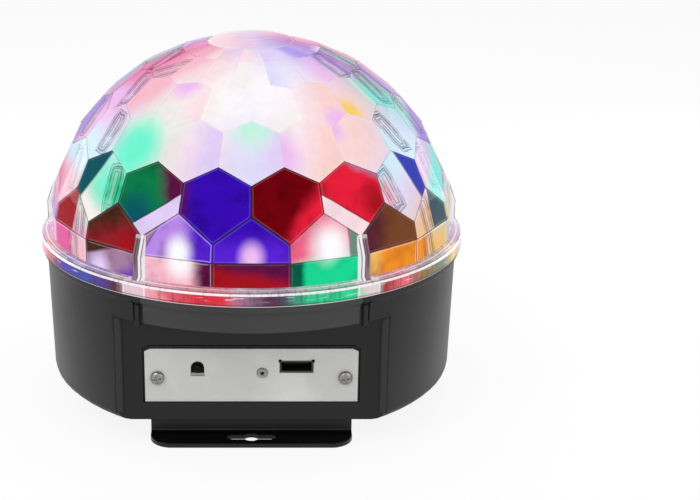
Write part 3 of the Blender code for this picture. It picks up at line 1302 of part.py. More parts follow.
def lens_mesh():
    """A collimator: a clear cone with a foot ring and a hollow for the lamp."""
    rim = LENS_HEIGHT - LENS_RIM_HEIGHT
    profile = [
        (0, LENS_CAVITY_HEIGHT),
        (LENS_CAVITY_RADIUS - LENS_FOOT_HEIGHT, LENS_CAVITY_HEIGHT),
        (LENS_CAVITY_RADIUS, 0),
        (LENS_FOOT_RADIUS, 0),
        (LENS_FOOT_RADIUS, LENS_FOOT_HEIGHT),
        (LENS_RADIUS, rim),
        (LENS_RADIUS, LENS_HEIGHT),
        (0, LENS_HEIGHT),
    ]
    cone = bmesh.new()
    add_turned(cone, profile, SMALL_STEPS)
    data = finish_mesh("led_lens", cone)
    data.materials.append(material("led_lens", LENS_ACRYLIC, clear=1.0))
    return data


def build_motor():
    """The flat geared motor under the deck, with two ears and two screws."""
    can = bmesh.new()
    roll = MOTOR_ROLL
    profile = [
        (0, 0), (MOTOR_RADIUS - roll, 0), (MOTOR_RADIUS, roll), (MOTOR_RADIUS, MOTOR_HEIGHT),
        (MOTOR_NOSE_RADIUS, MOTOR_HEIGHT), (MOTOR_NOSE_RADIUS, MOTOR_HEIGHT + MOTOR_NOSE_HEIGHT),
        (0, MOTOR_HEIGHT + MOTOR_NOSE_HEIGHT),
    ]
    add_turned(can, profile, ROUND_STEPS)
    motor = piece("gear_motor", can, material("gear_motor", BRIGHT_STEEL), (0, 0, MOTOR_Z))
    ears = bmesh.new()
    length = 2 * (MOTOR_EAR_X + MOTOR_EAR_RADIUS)
    outline = slot_outline(length, 2 * MOTOR_EAR_RADIUS, BEND_STEPS)
    add_prism(ears, outline, MOTOR_TOP_Z - MOTOR_EAR_SHEET, MOTOR_TOP_Z)
    join(motor, "motor_ears", ears)
    holes = bmesh.new()
    for side in (-1, 1):
        hole = circle(screw_hole(MOTOR_SCREW), SCREW_STEPS, (side * MOTOR_EAR_X, 0))
        add_prism(holes, hole, MOTOR_TOP_Z - MOTOR_EAR_SHEET - OVERRUN, MOTOR_TOP_Z + OVERRUN)
    nose = MOTOR_TOP_Z + MOTOR_NOSE_HEIGHT
    hole = circle(SHAFT_RADIUS + GAP, SMALL_STEPS)
    add_prism(holes, hole, MOTOR_TOP_Z - SHAFT_SOCKET_DEPTH - GAP, nose + OVERRUN)
    cut(motor, "motor_holes", holes)
    seats = []
    for side, word in ((-1, "left"), (1, "right")):
        place = (side * MOTOR_EAR_X, 0, MOTOR_TOP_Z - MOTOR_EAR_SHEET - GAP)
        seats.append((word, place, (math.pi, 0, 0)))
    place_screws("motor_screw", MOTOR_SCREW, seats)


def rotor_solid(inset, base):
    return faceted_dome(
        ROTOR_FACE_RADIUS, ROTOR_SKIRT_RADIUS, ROTOR_TOP_FACE, base,
        ROTOR_ROW_LATITUDES, ROTOR_ROW_TURNS, ROTOR_SECTORS, inset,
    )


def build_rotor():
    """The shaft, the hub, the inner lens dome and the screw that ties them, on one axis."""
    axis = bpy.data.objects.new("rotor_axis", None)
    bpy.context.scene.collection.objects.link(axis)

    low = MOTOR_TOP_Z - SHAFT_SOCKET_DEPTH
    high = HUB_TOP_Z - HUB_FLANGE_SHEET - GAP
    shank = screw_hole(ROTOR_SCREW)
    screw_seat = DOME_Z + ROTOR_TOP_FACE + GAP
    hole_floor = screw_seat - ROTOR_SCREW[3] - GAP
    profile = [
        (0, low), (SHAFT_RADIUS, low), (SHAFT_RADIUS, high),
        (shank, high), (shank, hole_floor), (0, hole_floor),
    ]
    rod = bmesh.new()
    add_turned(rod, profile, SMALL_STEPS)
    shaft = piece("rotor_shaft", rod, material("rotor_shaft", BRIGHT_STEEL))

    bore = SHAFT_RADIUS + GAP
    top = HUB_TOP_Z
    under = top - HUB_FLANGE_SHEET
    foot = top - HUB_LENGTH
    profile = [
        (shank, top), (shank, under), (bore, under), (bore, foot),
        (HUB_RADIUS, foot), (HUB_RADIUS, under), (HUB_FLANGE_RADIUS, under), (HUB_FLANGE_RADIUS, top),
    ]
    collar = bmesh.new()
    add_turned(collar, profile, SMALL_STEPS)
    hub = piece("rotor_hub", collar, material("rotor_hub", DARK_PLASTIC))

    look = material("rotor_lens", LENS_ACRYLIC, clear=1.0)
    lens = piece("rotor_lens", rotor_solid(0, -ROTOR_RIM_DROP), look, (0, 0, DOME_Z), smooth=False)
    rim = bmesh.new()
    rim_radius = ROTOR_SKIRT_RADIUS / math.cos(math.pi / ROTOR_SECTORS) + ROTOR_RIM_WIDTH
    low = -ROTOR_RIM_DROP - SINK
    high = low + ROTOR_RIM_HEIGHT
    add_turned(rim, [(0, low), (rim_radius, low), (rim_radius, high), (0, high)], ROUND_STEPS)
    join(lens, "rotor_rim", shifted(rim, DOME_Z))
    hollow = rotor_solid(ROTOR_WALL, -ROTOR_RIM_DROP - OVERRUN)
    cut(lens, "rotor_hollow", shifted(hollow, DOME_Z))
    hole = bmesh.new()
    add_prism(hole, circle(shank, SCREW_STEPS), HUB_TOP_Z, screw_seat + OVERRUN)
    cut(lens, "rotor_hole", hole)
    for part in (shaft, hub, lens):
        part.parent = axis
    data = screw_mesh("rotor_screw", ROTOR_SCREW, crossed=False)
    screw = piece("rotor_screw", data, None, (0, 0, screw_seat))
    screw.parent = axis


def build_speaker():
    """A small speaker that fires down through the floor's slots."""
    base = FLOOR_Z + GAP
    outer, depth, sheet = SPEAKER_RADIUS, SPEAKER_DEPTH, SPEAKER_SHEET
    rim = outer - SPEAKER_RIM_WIDTH
    frame = [
        (rim, 0), (outer, 0), (outer, SPEAKER_RIM_HEIGHT), (outer - SPEAKER_FLANGE_WIDTH, SPEAKER_RIM_HEIGHT),
        (SPEAKER_NECK_RADIUS + sheet, depth - sheet),
        (SPEAKER_NECK_RADIUS + sheet, depth), (SPEAKER_COIL_HOLE, depth), (SPEAKER_COIL_HOLE, depth - sheet),
        (SPEAKER_NECK_RADIUS, depth - sheet), (rim, SPEAKER_RIM_HEIGHT),
    ]
    bowl = bmesh.new()
    add_turned(bowl, frame, ROUND_STEPS)
    place = (SPEAKER_X, 0, base)
    piece("speaker_basket", bowl, material("speaker_basket", BLACK_STEEL), place)

    low = depth + GAP
    disc = [
        (0, low - POLE_LENGTH), (POLE_RADIUS, low - POLE_LENGTH), (POLE_RADIUS, low),
        (MAGNET_RADIUS, low), (MAGNET_RADIUS, low + MAGNET_HEIGHT), (0, low + MAGNET_HEIGHT),
    ]
    block = bmesh.new()
    add_turned(block, disc, SMALL_STEPS)
    piece("speaker_magnet", block, material("speaker_magnet", MAGNET_GREY), place)

    edge = rim - FIT_GAP
    thin = CONE_SHEET
    foot = CONE_TRAVEL + 2 * GAP
    neck_z = depth - sheet - CONE_TRAVEL - 2 * GAP
    neck = CONE_NECK_RADIUS
    inside = POLE_RADIUS + FIT_GAP
    coil_top = low - GAP - CONE_TRAVEL
    cap_z = low - POLE_LENGTH - CONE_TRAVEL - thin - GAP
    membrane = [
        (0, cap_z), (neck, cap_z), (edge - 2 * thin, foot), (edge, foot), (edge, foot + thin),
        (edge - 2 * thin, foot + thin), (neck + thin, cap_z + thin), (neck + thin, neck_z - thin),
        (neck, neck_z - thin), (neck, coil_top), (inside, coil_top), (inside, cap_z + thin),
        (0, cap_z + thin),
    ]
    slider = bpy.data.objects.new("cone_axis", None)
    bpy.context.scene.collection.objects.link(slider)
    slider.location = place
    skin = bmesh.new()
    add_turned(skin, membrane, SMALL_STEPS)
    cone = piece("speaker_cone", skin, material("speaker_cone", CONE_PAPER))
    cone.parent = slider
    seats = []
    for (x, y), word in zip(speaker_screw_places(), ("front", "rear")):
        seats.append((word, (x, y, FLOOR_Z + SPEAKER_RIM_HEIGHT + 2 * GAP), (0, 0, 0)))
    place_screws("speaker_screw", SPEAKER_SCREW, seats)


def place_bracket_screws():
    seats = []
    for index, (x, y) in enumerate(bracket_screw_places()):
        place = (x, y, BRACKET_HEIGHT - BRACKET_SHEET - GAP)
        seats.append((str(index + 1), place, (math.pi, 0, 0)))
    place_screws("bracket_screw", BRACKET_SCREW, seats, crossed=True)


# Where the decoder board and the inlet sit, from the pieces that they serve
DECODER_FRONT = FRONT_WALL + PANEL_BOSS_LENGTH / 2
DECODER_Z = PANEL_Z + USB_RISE - USB_HEIGHT / 2 - GAP - BOARD_SHEET
INLET_SEAT_Y = HOUSING_BOTTOM_RADIUS - INLET_POCKET_DEPTH


def main():
    clear_scene()
    build_bracket()
    place_bracket_screws()
    build_housing()
    build_clear_dome()
    build_panel()
    build_panel_parts()
    build_decoder_board()
    build_driver_board()
    build_inlet()
    build_deck()
    build_lamp_stack()
    build_motor()
    build_rotor()
    build_speaker()


main()
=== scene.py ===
"""Looks of a party light with a lit, faceted clear dome on a black housing.

Metres, +Z up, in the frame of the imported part. The control panel faces -Y. A bearing is an angle
round the dome's axis in degrees, counted from the front towards +X.
"""

from __future__ import annotations

import json
import logging
import math
from abc import ABC, abstractmethod
from collections.abc import Callable, Iterable, Mapping, Sequence
from dataclasses import dataclass, field
from enum import Enum
from typing import Any

import bmesh
import bpy
from mathutils import Matrix, Vector

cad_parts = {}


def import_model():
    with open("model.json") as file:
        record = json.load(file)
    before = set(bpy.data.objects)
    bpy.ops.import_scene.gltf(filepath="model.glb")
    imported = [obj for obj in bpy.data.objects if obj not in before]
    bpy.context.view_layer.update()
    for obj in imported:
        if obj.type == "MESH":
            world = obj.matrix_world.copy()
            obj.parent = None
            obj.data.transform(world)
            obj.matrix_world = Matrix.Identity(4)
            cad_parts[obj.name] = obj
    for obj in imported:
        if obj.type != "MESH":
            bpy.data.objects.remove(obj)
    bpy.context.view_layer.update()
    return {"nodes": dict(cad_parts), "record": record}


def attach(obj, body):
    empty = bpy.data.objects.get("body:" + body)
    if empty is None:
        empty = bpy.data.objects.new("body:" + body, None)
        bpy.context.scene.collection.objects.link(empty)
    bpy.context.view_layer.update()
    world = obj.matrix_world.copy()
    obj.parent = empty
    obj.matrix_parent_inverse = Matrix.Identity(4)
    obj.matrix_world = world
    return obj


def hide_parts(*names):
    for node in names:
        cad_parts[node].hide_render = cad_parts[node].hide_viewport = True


LOG = logging.getLogger("party_light")

Colour = tuple[float, float, float, float]
Point = tuple[float, float, float]
Outline = list[tuple[float, float]]

DOME_Z = 0.0770
COLLAR_Z = 0.0640
FRONT = 0.0768
MILLIMETRES = 1000.0
SMOOTH_ANGLE = 30.0
BASE_BODY = "base"
SQUARE = ((-1, -1), (1, -1), (1, 1), (-1, 1))

BLACK: Colour = (0.0, 0.0, 0.0, 1.0)
WHITE: Colour = (1.0, 1.0, 1.0, 1.0)
SCREEN_KNEE = 0.04045
SCREEN_SLOPE = 12.92
SCREEN_OFFSET = 0.055
SCREEN_POWER = 2.4
OFF_FACET = 9.0
SHARPEST_CORNER = 0.2
WELD_GAP = 0.000002
CORNER_GAP = 0.00002
DOWNWARD = -0.9
CLEAR_DEPTH = 0.1
LEVEL = 0.001
LEAST_WEIGHT = 0.000001


def linear(code: str) -> Colour:
    """Turns a screen colour into the linear colour that a shader takes.

    Args:
        code: Six hexadecimal digits.

    Returns:
        Red, green, blue and an alpha of 1.
    """
    channels = []
    for start in (0, 2, 4):
        value = int(code[start : start + 2], 16) / 255
        raised = ((value + SCREEN_OFFSET) / (1 + SCREEN_OFFSET)) ** SCREEN_POWER
        channels.append(value / SCREEN_SLOPE if value <= SCREEN_KNEE else raised)
    return (channels[0], channels[1], channels[2], 1.0)


def grey(level: float) -> Colour:
    """A grey in linear light."""
    return (level, level, level, 1.0)


def toned(paint: Colour, factor: float, lift: float = 0.0) -> Colour:
    """A paler or darker tone of a colour.

    Args:
        paint: The colour.
        factor: What its light is multiplied by.
        lift: The light that is added then.

    Returns:
        The tone, with no part over 1.
    """
    red, green, blue = (min(1.0, part * factor + lift) for part in paint[:3])
    return (red, green, blue, 1.0)


class Gel(Enum):
    """Colours that the lamps throw on the dome, as they look on screen."""

    WHITE = "fdfcfd"
    CREAM = "f8f2ec"
    SHELL = "fbe0e6"
    ROSE = "f8bccb"
    PINK = "ec8fc4"
    PEACH = "fad3ca"
    ORCHID = "efbdf0"
    LILAC = "e2cff6"
    LAVENDER = "dcdcfa"
    WISTERIA = "b49bec"
    ICE = "d3ecf7"
    AQUA = "86e6dc"
    MINT = "70f6d0"
    SEAFOAM = "c2f5e0"
    EMERALD = "1cd694"
    FERN = "0e7c48"
    PINE = "0a5a45"
    TEAL = "0b5762"
    SAGE = "6d8c7c"
    SLATE = "3f5a66"
    PLUM = "5a1444"
    WINE = "70040f"
    MULBERRY = "5a2430"
    BRICK = "92202a"
    CRIMSON = "a3151f"
    RED = "e6203a"
    CORAL = "f5707e"
    BLUSH = "f0668a"
    INDIGO = "380cb2"
    VIOLET = "5a22d4"
    PURPLE = "b98ae8"
    MAUVE = "a77f9f"
    COBALT = "3c46b6"
    UMBER = "4a2a1c"
    BROWN = "774529"
    ORANGE = "f0902a"
    AMBER = "f3ba68"
    GOLD = "f8cf6a"
    IRIS = "7a68dc"
    JADE = "45d3b8"
    FUCHSIA = "e8609f"
    GRAPE = "a07ad6"
    STRAW = "d9bf66"
    OLIVE = "8b7a3c"
    STONE = "b9b2bd"

    @property
    def paint(self) -> Colour:
        """The colour in linear light."""
        return linear(self.value)


class Row(Enum):
    """Rows of facets, from the upright skirt to the flat top."""

    SKIRT = "skirt"
    FOOT = "foot"
    LOWER = "lower"
    MIDDLE = "middle"
    UPPER = "upper"
    CROWN = "crown"
    RING = "ring"
    TOP = "top"


@dataclass(frozen=True)
class Cell:
    """How the light falls on one facet.

    Turns are in degrees from the facet's right, towards its top. Lengths are in facet units of
    15.5 mm from the facet's middle. A clear facet's fill runs into the fills of the clear facets
    round it. A fold is a nest of painted dark and bright lines: how strong it is, which way it
    lies, and how far out.
    """

    fill: Gel
    side: Gel
    side_turn: float = 0.0
    side_split: float = 0.0
    soft: float = 1.2
    spot: Gel = Gel.WHITE
    spot_at: tuple[float, float] = (OFF_FACET, OFF_FACET)
    spot_size: float = 0.5
    corner: Gel = Gel.WHITE
    corner_turn: float = 0.0
    corner_split: float = OFF_FACET
    # line: how strong the painted dark line (painted shade) along the facet's edge is. glint: how strong
    # the painted highlight just inside it is.
    line: float = 0.2
    glint: float = 0.05
    fold: Point = (0.0, 0.0, 0.0)
    clear: bool = True


def lit_cells() -> dict[Row, dict[int, Cell]]:
    """The light on the front half of the dome, by row and bearing.

    Returns:
        One cell per facet. The rear half repeats it, turned half round.
    """
    g = Gel
    return {
        Row.TOP: {0: Cell(g.LILAC, g.SHELL, 180, 0.3, 1.4, line=0.15)},
        Row.RING: {
            -80: Cell(g.CORAL, g.PINK, 90, 0.1, 0.5, line=0.25),
            -60: Cell(g.CORAL, g.ROSE, 0, 0.3, 0.5, line=0.2),
            -40: Cell(g.ROSE, g.SHELL, 0, 0.1, 0.6, line=0.15),
            -20: Cell(g.SHELL, g.LILAC, 90, 0.1, 0.5, line=0.06),
            0: Cell(g.LILAC, g.SHELL, 180, 0.0, 0.6, line=0.04),
            20: Cell(g.LAVENDER, g.LILAC, 180, 0.0, 0.6, line=0.06),
            40: Cell(g.LAVENDER, g.WISTERIA, 10, 0.0, 0.4, line=0.15),
            60: Cell(g.IRIS, g.WISTERIA, 180, 0.2, 0.4, line=0.2),
            80: Cell(g.IRIS, g.LILAC, -90, 0.2, 0.4, line=0.25),
        },
        Row.CROWN: {
            -80: Cell(g.CORAL, g.FUCHSIA, 0, 0.0, 0.8, line=0.7, fold=(0.95, 20, 0.1)),
            -60: Cell(g.PINK, g.ROSE, 0, 0.2, 0.7, line=0.35, fold=(0.8, -50, 0.2)),
            -40: Cell(g.SHELL, g.ROSE, 150, 0.2, 0.5, line=0.1),
            -20: Cell(g.CREAM, g.SHELL, 180, 0.1, 0.8, line=0.05),
            0: Cell(g.WHITE, g.CREAM, 180, 0.1, 0.8, line=0.03),
            20: Cell(g.WHITE, g.LAVENDER, 180, 0.1, 0.8, line=0.05),
            40: Cell(g.LILAC, g.ORCHID, 0, 0.1, 0.8, line=0.1),
            60: Cell(g.ORCHID, g.PURPLE, 0, 0.2, 0.7, line=0.35, fold=(0.9, 160, 0.0)),
            80: Cell(g.GRAPE, g.JADE, 0, 0.2, 0.6, line=0.7, fold=(0.95, 160, 0.0)),
        },
        Row.UPPER: {
            -90: Cell(g.FUCHSIA, g.GRAPE, 180, 0.0, 0.8, line=0.8, fold=(0.6, 10, 0.1)),
            -70: Cell(g.PINK, g.ORCHID, -90, 0.1, 0.8, line=0.4, fold=(0.95, 10, 0.3)),
            -50: Cell(g.SHELL, g.ROSE, 150, 0.0, 0.8, g.ROSE, (-0.3, 0.4), 1.0, line=0.12),
            -30: Cell(g.CREAM, g.SHELL, 0, 0.3, 0.8, g.ORCHID, (-0.25, 0.75), 0.75, line=0.05),
            -10: Cell(g.WHITE, g.CREAM, 180, 0.5, 0.8, line=0.02),
            10: Cell(g.WHITE, g.CREAM, -45, 0.5, 0.8, line=0.02),
            30: Cell(g.SHELL, g.PEACH, 0, 0.0, 1.6, g.ORCHID, (0.35, -0.75), 0.6, line=0.04),
            50: Cell(g.PEACH, g.SEAFOAM, 10, 0.6, 0.5, g.GOLD, (-0.5, -0.5), 0.6, line=0.1),
            70: Cell(g.JADE, g.AQUA, 225, 0.2, 0.7, line=0.45, fold=(0.95, 160, 0.0)),
            90: Cell(g.JADE, g.GRAPE, 0, 0.1, 0.9, line=0.8, fold=(0.6, 160, 0.1)),
        },
        Row.MIDDLE: {
            -80: Cell(g.ORCHID, g.GRAPE, 180, 0.0, 0.9, line=0.8, fold=(0.95, 10, 0.1)),
            -60: Cell(g.LILAC, g.ICE, -100, 0.1, 0.9, line=0.35, fold=(1.0, -5, 0.25)),
            -40: Cell(g.SEAFOAM, g.CREAM, 80, 0.35, 0.9, g.MINT, (-0.1, -0.25), 1.3, line=0.05),
            -20: Cell(g.SHELL, g.LILAC, 0, 0.1, 1.3, line=0.03),
            0: Cell(g.LAVENDER, g.LILAC, 0, 0.4, 0.9, g.SEAFOAM, (0.05, 0.8), 0.9, line=0.02),
            20: Cell(g.SHELL, g.PEACH, -20, 0.2, 1.4, g.ORCHID, (-0.95, -0.1), 0.9, line=0.03),
            40: Cell(g.PEACH, g.SEAFOAM, 0, 0.9, 0.5, g.ORCHID, (-0.8, 0.6), 0.6, line=0.06),
            60: Cell(g.LAVENDER, g.ICE, -120, 0.1, 1.0, line=0.35, fold=(1.0, 185, 0.25)),
            80: Cell(g.AQUA, g.GRAPE, -60, 0.1, 0.6, line=0.8, fold=(0.95, 170, 0.0)),
        },
        Row.LOWER: {
            -90: Cell(g.FUCHSIA, g.ICE, 90, 0.0, 0.8, line=0.8, fold=(0.6, 10, 0.1)),
            -70: Cell(g.ROSE, g.ICE, 90, 0.0, 0.8, line=0.5, fold=(0.6, 10, 0.2)),
            -50: Cell(
                g.MINT, g.CREAM, -115, 0.55, 0.6, g.EMERALD, (0.7, -0.05), 0.65, g.TEAL, 152, 0.4,
                line=0.6, fold=(0.9, -5, 0.6),
            ),
            -30: Cell(
                g.FERN, g.PLUM, 22, 0.42, 0.5, g.TEAL, (-0.35, -0.75), 0.95, g.LILAC, 307, 0.47,
                line=0.95, clear=False,
            ),
            -10: Cell(g.INDIGO, g.PLUM, 180, 0.85, 0.6, line=0.9, clear=False),
            10: Cell(g.WINE, g.RED, -38, 0.5, 0.5, line=0.9, clear=False),
            30: Cell(
                g.RED, g.MAUVE, 62, 0.8, 0.4, g.CRIMSON, (0.75, -0.35), 0.6, g.SHELL, 233, 0.47,
                line=0.9, clear=False,
            ),
            50: Cell(
                g.LAVENDER, g.ICE, 90, 0.2, 0.9, g.ROSE, (-0.75, -0.2), 0.55, g.COBALT, 22, 0.45,
                line=0.5, fold=(0.9, 185, 0.6),
            ),
            70: Cell(g.ORCHID, g.AQUA, -60, 0.0, 0.8, line=0.5, fold=(0.6, 170, 0.2)),
            90: Cell(g.JADE, g.ORCHID, 90, 0.0, 0.8, line=0.8, fold=(0.6, 170, 0.0)),
        },
        Row.FOOT: {
            -80: Cell(g.FUCHSIA, g.GRAPE, -90, 0.0, 0.8, line=0.8, fold=(0.6, 10, 0.0)),
            -60: Cell(
                g.ROSE, g.PINK, -90, 0.3, 0.6, corner=g.CRIMSON, corner_turn=176, corner_split=0.05,
                line=0.7, glint=0.2, fold=(0.9, 0, 0.35),
            ),
            -40: Cell(
                g.BRICK, g.UMBER, 110, 0.3, 0.9, g.CRIMSON, (0.5, -0.25), 0.6, line=0.9, clear=False
            ),
            -20: Cell(
                g.PURPLE, g.VIOLET, 12, 0.55, 0.6, g.WHITE, (0.24, -0.2), 0.56, g.MAUVE, 150, 0.6,
                line=0.6, glint=0.3, clear=False,
            ),
            0: Cell(g.VIOLET, g.INDIGO, 90, 0.2, 0.9, g.ORCHID, (0.0, -0.3), 0.5, line=0.8, clear=False),
            20: Cell(
                g.BLUSH, g.MINT, -80, 0.3, 0.5, g.WHITE, (-0.04, -0.1), 0.92, g.SAGE, 2, 0.54,
                line=0.4, clear=False,
            ),
            40: Cell(g.BROWN, g.MULBERRY, 170, 0.25, 1.1, line=0.9, clear=False),
            60: Cell(
                g.AMBER, g.SHELL, 90, 0.5, 0.5, corner=g.SLATE, corner_turn=6, corner_split=0.12,
                line=0.7, glint=0.2, fold=(0.9, 180, 0.25),
            ),
            80: Cell(g.AQUA, g.STRAW, -90, 0.0, 0.8, line=0.8, fold=(0.6, 170, 0.0)),
        },
        Row.SKIRT: {
            -80: Cell(g.FUCHSIA, g.ORCHID, 0, 0.0, 0.8, line=0.7, glint=0.6, fold=(0.6, 10, 0.1)),
            -60: Cell(g.ROSE, g.FUCHSIA, 180, 0.0, 0.6, line=0.6, glint=0.4, fold=(0.8, -10, 0.2)),
            -40: Cell(
                g.MAUVE, g.VIOLET, -60, 0.55, 0.6, g.LILAC, (-0.55, -0.4), 0.6, g.UMBER, 106, 0.3,
                line=0.7, glint=0.15, clear=False,
            ),
            -20: Cell(
                g.ROSE, g.PLUM, 2, 0.62, 0.6, g.WHITE, (0.12, 0.3), 0.62, line=0.4, glint=0.3,
                clear=False,
            ),
            0: Cell(g.PLUM, g.CRIMSON, -100, 0.0, 0.5, line=0.7, clear=False),
            20: Cell(
                g.EMERALD, g.PINE, 180, 0.72, 0.25, g.SEAFOAM, (0.0, 0.72), 0.6, line=0.4, clear=False
            ),
            40: Cell(
                g.ORANGE, g.AMBER, 175, 0.45, 0.6, g.BRICK, (-0.7, -0.7), 0.5, line=0.6, glint=0.3,
                clear=False,
            ),
            60: Cell(g.AMBER, g.ORANGE, 180, 0.3, 0.4, line=0.6, glint=0.7, fold=(0.9, 190, 0.2)),
            80: Cell(g.STRAW, g.STONE, 0, 0.0, 0.8, line=0.7, glint=0.6, fold=(0.6, 170, 0.1)),
        },
    }


def flange_beams() -> dict[int, Gel]:
    """The colours that the lamps throw on the flange's edge, by bearing.

    Returns:
        The colours round the whole edge.
    """
    g = Gel
    return {
        -178: g.ROSE, -160: g.EMERALD, -136: g.ORANGE, -112: g.OLIVE, -90: g.ORCHID, -80: g.PINK,
        -70: g.CORAL, -62: g.CRIMSON, -57: g.INDIGO, -46: g.COBALT, -35: g.PLUM, -29: g.ROSE,
        -20: g.CORAL, -14: g.RED, -6: g.RED, -1: g.MAUVE, 4: g.PLUM, 9: g.SLATE, 14: g.EMERALD,
        27: g.EMERALD, 31: g.SEAFOAM, 35: g.CRIMSON, 42: g.CORAL, 50: g.OLIVE, 60: g.SAGE,
        66: g.GOLD, 74: g.MAUVE, 90: g.LILAC, 110: g.CRIMSON, 134: g.COBALT, 158: g.CORAL, 179: g.ROSE,
    }


class Value:
    """A number that runs through the nodes of one material. Arithmetic on it adds Math nodes."""

    def __init__(self, graph: Graph, socket: bpy.types.NodeSocket) -> None:
        """Wraps an output socket of the graph's nodes."""
        self.graph = graph
        self.socket = socket

    def math(self, operation: str, *others: Value | float, clamp: bool = False) -> Value:
        """Adds one Math node.

        Args:
            operation: The node's operation.
            others: Its further inputs, numbers or values.
            clamp: Whether the result is held between 0 and 1.

        Returns:
            The result.
        """
        inputs = dict(enumerate((self, *others)))
        made = self.graph.node("ShaderNodeMath", {"operation": operation, "use_clamp": clamp}, inputs)
        return Value(self.graph, made.outputs[0])

    def __add__(self, other: Value | float) -> Value:
        """Adds."""
        return self.math("ADD", other)

    __radd__ = __add__

    def __mul__(self, other: Value | float) -> Value:
        """Multiplies."""
        return self.math("MULTIPLY", other)

    __rmul__ = __mul__

    def __sub__(self, other: Value | float) -> Value:
        """Takes the other away from this."""
        return self.math("SUBTRACT", other)

    def __rsub__(self, other: float) -> Value:
        """Takes this away from the other."""
        return self * -1.0 + other

    def __truediv__(self, other: Value | float) -> Value:
        """Divides this by the other."""
        return self.math("DIVIDE", other)

    def root(self) -> Value:
        """The square root."""
        return self.math("SQRT")

    def clamped(self) -> Value:
        """Held between 0 and 1."""
        return self.math("ADD", 0.0, clamp=True)

    def rise(self, start: float, end: float) -> Value:
        """A smooth step that is 0 at the start and 1 at the end.

        Args:
            start: Where it starts.
            end: Where it ends.

        Returns:
            The step.
        """
        made = self.graph.node(
            "ShaderNodeMapRange",
            {"interpolation_type": "SMOOTHSTEP"},
            {"Value": self, "From Min": start, "From Max": end},
        )
        return Value(self.graph, made.outputs[0])

    def size(self) -> Value:
        """The number without its sign."""
        return self.math("ABSOLUTE")

    def or_more(self, other: Value | float) -> Value:
        """The greater of this and the other."""
        return self.math("MAXIMUM", other)

    def band(self, start: float, full: float, fade: float, end: float) -> Value:
        """1 between full and fade, falling smoothly to 0 at the start and at the end."""
        return self.rise(start, full) * (1.0 - self.rise(fade, end))


Feed = Value | bpy.types.NodeSocket | float | Sequence[float]


